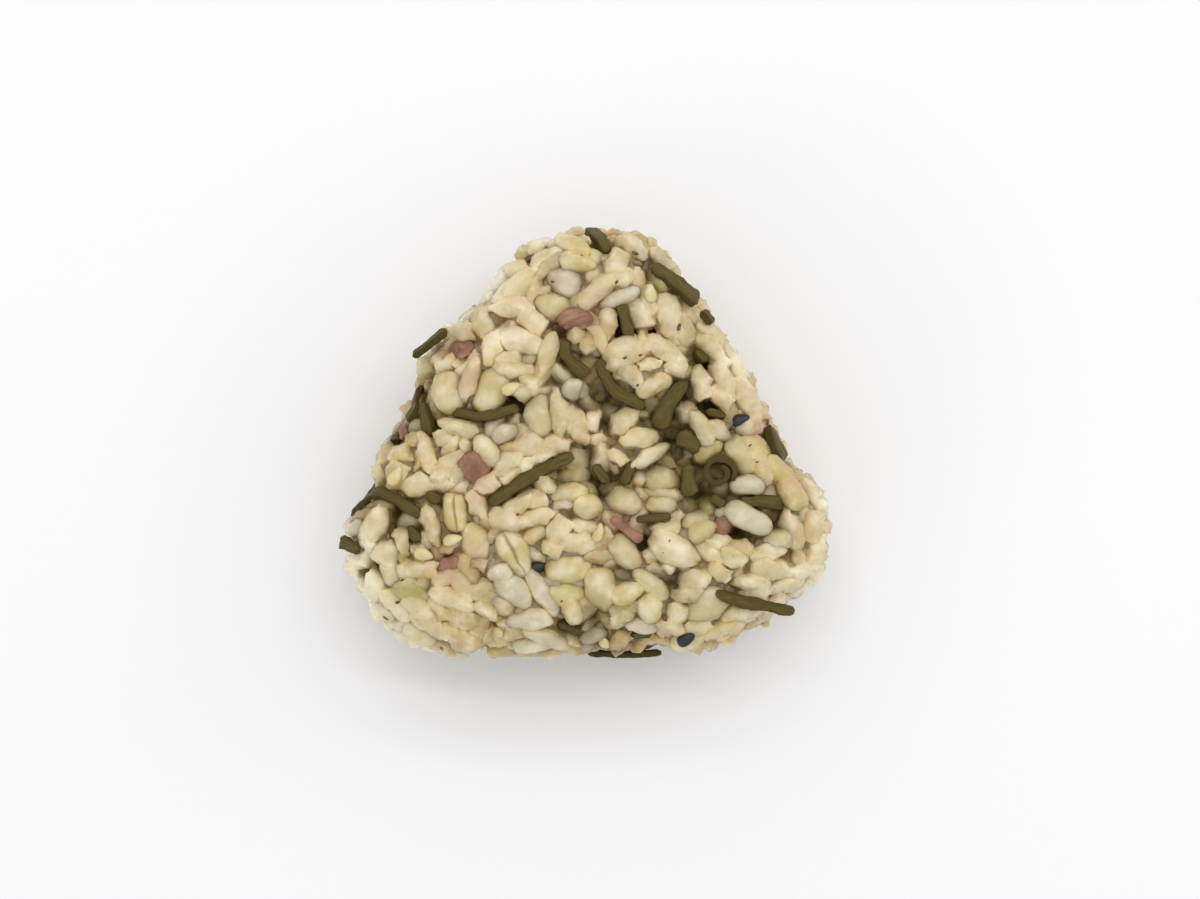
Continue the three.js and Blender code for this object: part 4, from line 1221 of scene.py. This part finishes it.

# ---- The starch that sticks the grains together, darkened as painted shade in the joins ----

def filling_piece(pieces):
    """A smooth skin over all the grains, a little inside them, that fills the joins between them."""
    points, faces = joined(pieces)
    filling = piece_from("sticky_starch", points * MM, faces)
    remesh = filling.modifiers.new("joined", "REMESH")
    remesh.mode = "VOXEL"
    remesh.voxel_size = FILLING_CELL * MM
    depsgraph = bpy.context.evaluated_depsgraph_get()
    mesh = bpy.data.meshes.new_from_object(filling.evaluated_get(depsgraph), depsgraph=depsgraph)
    filling.modifiers.clear()
    filling.data = mesh
    points = points_of(mesh)
    edges = np.empty(2 * len(mesh.edges), np.int32)
    mesh.edges.foreach_get("vertices", edges)
    a, b = edges.reshape(-1, 2).T
    both = np.concatenate([a, b])
    other = np.concatenate([b, a])
    count = np.maximum(np.bincount(both, minlength=len(points)), 1)[:, None]
    for _ in range(FILLING_ROUNDS):
        around = summed(both, points[other], len(points)) / count
        points += FILLING_PULL * (around - points)
    set_points(mesh, points - FILLING_INSET * outline_distance(points)[1])
    finish_mesh(mesh, starch_look)
    return filling


filling = filling_piece([rice, clear, barley, core])

# ---- Pressed flat underneath, painted shade between the grains, and stains ----

# Spots of x, y, z, radius and strength.
STAINS = [
    (-17.6, 17.5, 26, 4, 0.4), (-15.7, 0.7, 26, 4, 0.4), (-1.5, 21.7, 26, 5, 0.4),
    (-19.2, -13, 26, 4, 0.5), (5.5, -8, 26, 4, 0.35), (-11, 22, 26, 3, 0.25), (1, 4.5, 25, 3.5, 0.25),
    (9, 19, 26, 3, 0.2), (17.5, 12, 26, 3, 0.25), (-12, 8, 26, 3, 0.25), (30, -1.7, 24, 1.4, 0.9),
    (-3.6, -10, 26, 1.2, 0.9), (-16, -12.5, 26, 1.5, 0.8), (26.6, 7.3, 24, 3, 0.5),
]
GREEN_STAINS = [(-25, -16.5, 25, 2.6, 0.6), (23, -3, 26, 3.5, 0.25)]
# Olive spots, partly the stain of the kelp on the rice and partly painted shade in the hollows and gaps
# between the grains.
OLIVE_STAINS = [
    (13.2, 4.4, 24, 3, 0.95), (15.3, 0.2, 24, 2.4, 0.95), (16.6, -2.8, 24, 2.6, 0.95),
    (11.2, 7.4, 24, 3.2, 0.9), (14.5, 12.2, 24, 2, 0.9), (19.4, -4.2, 24, 2.4, 0.9),
    (3.4, 10.6, 24, 3.6, 0.9), (8.6, 8.6, 24, 2.6, 0.9), (17.4, 2.2, 24, 1.8, 0.6),
    (1.6, -0.6, 24, 2.6, 0.85), (-8.8, 9.8, 24, 2.4, 0.7), (-20.8, 3.4, 24, 1.4, 0.6),
    (-24.5, -8, 23, 3, 0.7), (0.5, -19.5, 24, 2.2, 0.7), (22.5, -9, 24, 2.6, 0.8),
    (5.6, 21.5, 24, 2, 0.5), (15.5, 16.5, 24, 2, 0.7), (12.6, -15.6, 24, 2.4, 0.9),
    (2.8, 7.2, 24, 2.2, 0.9), (0.4, 2.7, 24, 2, 0.9), (2.3, -24.9, 20, 2.4, 0.8),
    (9.4, 30.4, 20, 2.2, 0.9), (-3.2, -1.5, 24, 2.2, 0.8), (26.8, -7.6, 24, 2, 0.9),
    (-3.6, 20.8, 24, 1.8, 0.7), (0.4, 20.8, 24, 1.8, 0.7), (8.9, 0.9, 24, 1.8, 0.8),
    (5.7, -14.9, 24, 1.8, 0.8), (-24.2, 11.9, 22, 2, 0.7), (-1.7, 11.9, 24, 1.8, 0.8),
    (4.7, -22, 22, 1.8, 0.7), (28.9, 3, 22, 2, 0.9), (20.9, 6.2, 24, 2, 0.7), (4, 5.2, 24, 1.8, 0.8),
    (16, -5.1, 24, 2.2, 0.9), (7.4, 3.6, 24, 1.5, 0.7), (-25.6, 6.2, 20, 2.4, 0.8),
    (0.3, 8.6, 24, 1.8, 0.8), (-2, -2.7, 24, 1.8, 0.7), (4.1, -25.9, 18, 2.6, 0.9),
    (2.7, -22.5, 22, 1.8, 0.8), (-2.2, 28.8, 23, 1.8, 0.8), (-27.4, -6.4, 22, 2, 0.9),
    (-2.3, -3.1, 24, 2, 0.9), (-15, -19.2, 24, 2.4, 0.3), (-31.9, -5.3, 21, 2.4, 0.9),
    (1, -23.9, 22, 2, 0.9), (-22.6, -18.4, 24, 1.8, 0.3), (-1.2, -20.2, 24, 1.8, 0.7),
    (2.1, -3.1, 24, 2, 0.9), (-4, 12.6, 24, 1.8, 0.9), (-27.2, 6, 19, 2.4, 0.9),
    (-3.5, 20.4, 24, 2, 0.9), (14.2, -17.7, 24, 1.8, 0.7), (11.8, 31.4, 20, 2, 0.8),
    (-0.2, 8.8, 24, 2, 0.9), (-22.3, 17.9, 21, 2, 0.7),
]
# Paler patches, partly paler grains and partly painted light, mostly on the lower left rim.
PALE_PATCHES = [
    (-28, -22, 16, 4.5, 1), (-23.4, -24.8, 16, 3.5, 1), (-18, -26.4, 14, 3, 0.8),
    (-33.2, -15.4, 18, 4, 1), (-31, -11.6, 23, 2.2, 0.7), (-35.6, -10, 19, 2.8, 1),
    (26.5, -17.8, 20, 3.4, 0.8), (32.9, -15.6, 19, 3.4, 0.7), (-14.4, 26.6, 19, 3.4, 1),
    (-19.4, 21.8, 18, 2.6, 0.7), (22.4, 16.4, 20, 3, 0.6), (34.8, -4.8, 20, 3, 0.6),
    (-5.5, 34.6, 18, 2.6, 0.8), (-31.8, -14.2, 22, 2.6, 0.8), (-31.4, -19.8, 18, 3.2, 1),
    (-1.3, -7, 26, 2, 0.4), (-12.2, 28.6, 20, 2.6, 0.8), (-19.6, -25.8, 15, 2.6, 0.7),
    (-12.8, 20, 26, 2.4, 0.3), (13, -11, 26, 3, 0.3),
]
# painted shade in the gaps where no grain lies
DARK_GAPS = [(x, y, 24, 1.15 * radius, 1) for x, y, radius in GAPS]
DEEP = 1.4, 3.0  # painted shade darkens the colour from this far under the outline, over this much
PALE_TO = 2.2  # the pale patches, partly paler grains and partly painted light, reach this deep
# the olive stain and painted shade start this far under the outline and grow over this much
OLIVE_FROM, OLIVE_OVER = -0.2, 1.2


def shade(piece):
    """Presses a piece flat on the table, and marks how deep it lies and how it slants, for painted
    shade, and its stains, partly painted shade and painted light.
    """
    points = points_of(piece.data)
    points[:, 2] = np.maximum(points[:, 2], 0)
    set_points(piece.data, points)
    outside, out = outline_distance(points)
    depth = -outside
    normals = np.empty(3 * len(points), np.float32)
    piece.data.vertex_normals.foreach_get("vector", normals)
    shown = np.clip(PALE_TO - depth, 0, 1)
    below = np.clip((depth - OLIVE_FROM) / OLIVE_OVER, 0, 1)
    for name, values in (
        # slant feeds the painted shade on the sides of the grains
        ("slant", 1 - np.clip(np.sum(normals.reshape(-1, 3) * out, axis=1), 0, 1)),
        ("deep", np.clip((depth - DEEP[0]) / DEEP[1], 0, 1)),
        ("pink", stain(points, STAINS)),
        ("green", stain(points, GREEN_STAINS)),
        ("pale", shown * stain(points, PALE_PATCHES)),
        ("olive", below * stain(points, OLIVE_STAINS + DARK_GAPS)),
    ):
        set_attribute(piece.data, name, values)


for piece in (rice, clear, barley, filling):
    shade(piece)

# ---- Seeds and flecks stuck to the grains ----

# Seeds at x, y and turned by so many degrees, and flecks with their length too.
WHITE_SESAME = [
    (9.1, 25.6, 80), (-10.7, 12, 30), (-27.2, -0.5, 60), (-19, -9.7, 10), (2, -8.6, 90),
    (-23.3, -11.6, -20), (-12.2, -22.5, 40), (2.8, -23.9, 70),
]
BLACK_SESAME = [(-7, -13.5, 20), (22.2, 7.5, 15), (14.4, -23.7, 30)]
FLECKS = [
    (11.9, -9.7, 60, 0.8), (13.9, -10.8, -30, 0.8), (11, -11.4, 20, 0.6), (23.5, 4, 30, 0.8),
    (24.5, 1.6, 10, 0.7), (-31.8, -10.8, 50, 0.8), (-25.3, -11, 60, 1), (-26.3, -15.3, 20, 0.9),
    (-27, -18.5, 20, 1), (-28.7, -20.8, -60, 1.3), (-21.4, -24, 10, 0.9), (5.6, 16.5, 30, 0.9),
    (7.4, 12.6, 60, 0.9), (7.8, 16.9, 10, 0.8), (13.3, 20.9, 75, 1.6), (-0.6, 31.2, -45, 0.8),
    (7, 31.5, -20, 1.4), (-4.8, 27.4, -15, 0.8), (4.4, 27.4, 70, 0.9), (-16.6, 21.7, 20, 0.8),
    (-5, 6, 50, 1.1), (-9.8, -5.9, 20, 0.9), (-16.9, -7, 10, 1.2), (7.5, -10.5, -40, 1.2),
    (8.6, -10.8, -60, 0.8), (28.2, -17, 30, 0.5), (11.3, -20.8, -65, 1.9), (18.5, -22.5, -50, 0.9),
    (-4.5, 1.7, -30, 0.9), (19.5, 3.5, 60, 0.9), (-18.7, 20.9, -20, 0.7), (-3.5, -18.3, 40, 0.7),
]
SEED_SIZE = (2.9, 1.8, 1.1)
FLECK_SIZE = (0.55, 0.3, 0.14)
FLECK_SHARE = 0.8  # of its listed length
OFF_FACE = 24  # the extra ones come from below this height


def surface_of(pieces):
    points, faces = joined(pieces)
    return BVHTree.FromPolygons((points * MM).tolist(), faces)


surface = surface_of([rice, clear, barley, filling])
grain_faces = sum(len(piece.data.polygons) for piece in (rice, clear, barley))


def on_surface(starts, aims, lift):
    """Where rays meet the ball, raised a little, the normals there, and if that is on the starch."""
    places = []
    normals = []
    on_starch = []
    for start, aim in zip(starts, aims):
        place, normal, face, _ = surface.ray_cast(Vector(start * MM), Vector(aim))
        if place is not None:
            places.append(np.array(place) / MM + lift * np.array(normal))
            normals.append(np.array(normal))
            on_starch.append(face >= grain_faces)
    return np.array(places), np.array(normals), np.array(on_starch)


def random_starts(count):
    """Places outside the ball all round it, and the way in from each."""
    starts = random_places(count, 500, REGION_TOP, -1, 0)
    out = outline_distance(starts)[1]
    return starts + RAY_START * out, -out


def broken_bits(count):
    """Bits of broken grain stuck in between the whole ones, all round."""
    places, normals, on_starch = on_surface(*random_starts(count), BIT_SUNK)
    places, normals = places[on_starch], normals[on_starch]
    along = laid_flat(random.normal(0, 1, places.shape), normals, 0.8)
    length = random.uniform(*BIT_LENGTHS, len(places))
    width = length * random.uniform(*BIT_WIDTHS, len(places))
    given = {
        "centre": places, "along": along, "up": normals,
        "size": np.stack([length, width, BIT_THICKNESS * width], axis=1),
        "tint": random.beta(1.4, 1.8, len(places)),
    }
    return grains_piece("broken_bits", given, bit_shapes, rice_look, 0.9, 1.2)


def scattered(name, by_hand, extra, shapes, finish, size, spread, lift):
    """Small pieces stuck on: those listed on the upper face, and extra ones all round."""
    seen = np.array([(row[0], row[1], FACE_PLANE) for row in by_hand])
    starts = np.tile(np.array(CAMERA), (len(by_hand), 1))
    more, more_aims = random_starts(extra)
    hidden = more[:, 2] < OFF_FACE
    aims = np.concatenate([seen - starts, more_aims[hidden]])
    starts = np.concatenate([starts, more[hidden]])
    places, normals, _ = on_surface(starts, aims, lift)
    heading = random.uniform(0, 2 * math.pi, len(places))
    scale = random.uniform(1 - spread, 1 + spread, (len(places), 1))
    for i, (_, _, turn, *length) in enumerate(by_hand):
        heading[i] = math.radians(turn)
        scale[i] = FLECK_SHARE * length[0] / size[0] if length else 1
    flat = np.stack([np.cos(heading), np.sin(heading), 0.1 * np.ones(len(places))], axis=1)
    given = {
        "centre": places, "along": laid_flat(flat, normals), "up": normals,
        "size": np.array(size) * scale, "tint": np.full(len(places), 0.5),
    }
    return grains_piece(name, given, shapes, finish, 0.05, 1.0)


bits = broken_bits(BIT_COUNT)
shade(bits)
white_sesame = scattered(
    "white_sesame_seeds", WHITE_SESAME, 14, sesame_shapes, white_sesame_look, SEED_SIZE, 0.08, 0.4
)
black_sesame = scattered(
    "black_sesame_seeds", BLACK_SESAME, 5, sesame_shapes, black_sesame_look, SEED_SIZE, 0.08, 0.45
)
flecks = scattered("husk_flecks", FLECKS, 50, fleck_shapes, fleck_look, FLECK_SIZE, 0.35, 0.0)

for collection in (rice_shapes, clear_shapes, barley_shapes, bit_shapes, sesame_shapes, fleck_shapes):
    for shape in list(collection.objects):
        bpy.data.objects.remove(shape)
    bpy.data.collections.remove(collection)

# ---- Riding on the frame ----

BALL_PIECES = (
    (rice, "rice"), (clear, "rice"), (core, "rice"), (filling, "rice"), (bits, "rice"),
    (barley, "barley"), (white_sesame, "white_sesame"), (black_sesame, "black_sesame"),
    (flecks, "barley"),
)
for piece, node_name, slot in (
    *((piece, "rice", slot) for piece, slot in BALL_PIECES),
    *((piece, node_name, "kelp") for node_name, piece in shreds.items()),
    *((piece, node_name, "plum") for node_name, piece in plums.items()),
):
    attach(piece, "root")
    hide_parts(node_name)

# ---- Table, light and camera ----

floor = piece_from("table", [(-3, -3, 0), (3, -3, 0), (3, 3, 0), (-3, 3, 0)], [(0, 1, 2, 3)])
floor_look, floor_nodes = new_material("white table")
close_material(floor_look, floor_nodes, {"Base Color": (0.9, 0.895, 0.9, 1), "Roughness": 0.6})
floor.data.materials.append(floor_look)


def area_light(name, place, size, power, color=(1, 1, 1)):
    """A lamp in metres and watts, aimed at the ball."""
    light = bpy.data.lights.new(name, "AREA")
    light.shape = "RECTANGLE"
    light.size, light.size_y = size
    light.energy = power
    light.color = color
    lamp = add_object(name, light)
    lamp.location = place
    lamp.rotation_euler = (-Vector(place)).to_track_quat("-Z", "Y").to_euler()


area_light("tube", (0.12, 0.5, 1.4), (1.5, 0.14), 4.1)
area_light("wall", (0.12, 0.9, 1.2), (1.5, 0.3), 3.7)
area_light("doorway", (-0.9, -0.8, 0.35), (0.9, 0.6), 1.6)
area_light("window", (1.1, 0.6, 0.8), (0.8, 0.8), 1.9, (1, 0.99, 0.97))
world = bpy.data.worlds.new("soft room")
world.use_nodes = True
background = world.node_tree.nodes["Background"]
background.inputs["Color"].default_value = (0.98, 0.985, 1.0, 1)
background.inputs["Strength"].default_value = 0.757
bpy.context.scene.world = world
bpy.context.scene.view_settings.view_transform = "Standard"

camera = add_object("camera", bpy.data.cameras.new("camera"))
camera.location = Vector(CAMERA) * MM
camera.data.lens = LENS
camera.data.sensor_width = SENSOR
camera.data.clip_start = 0.01
bpy.context.scene.camera = camera
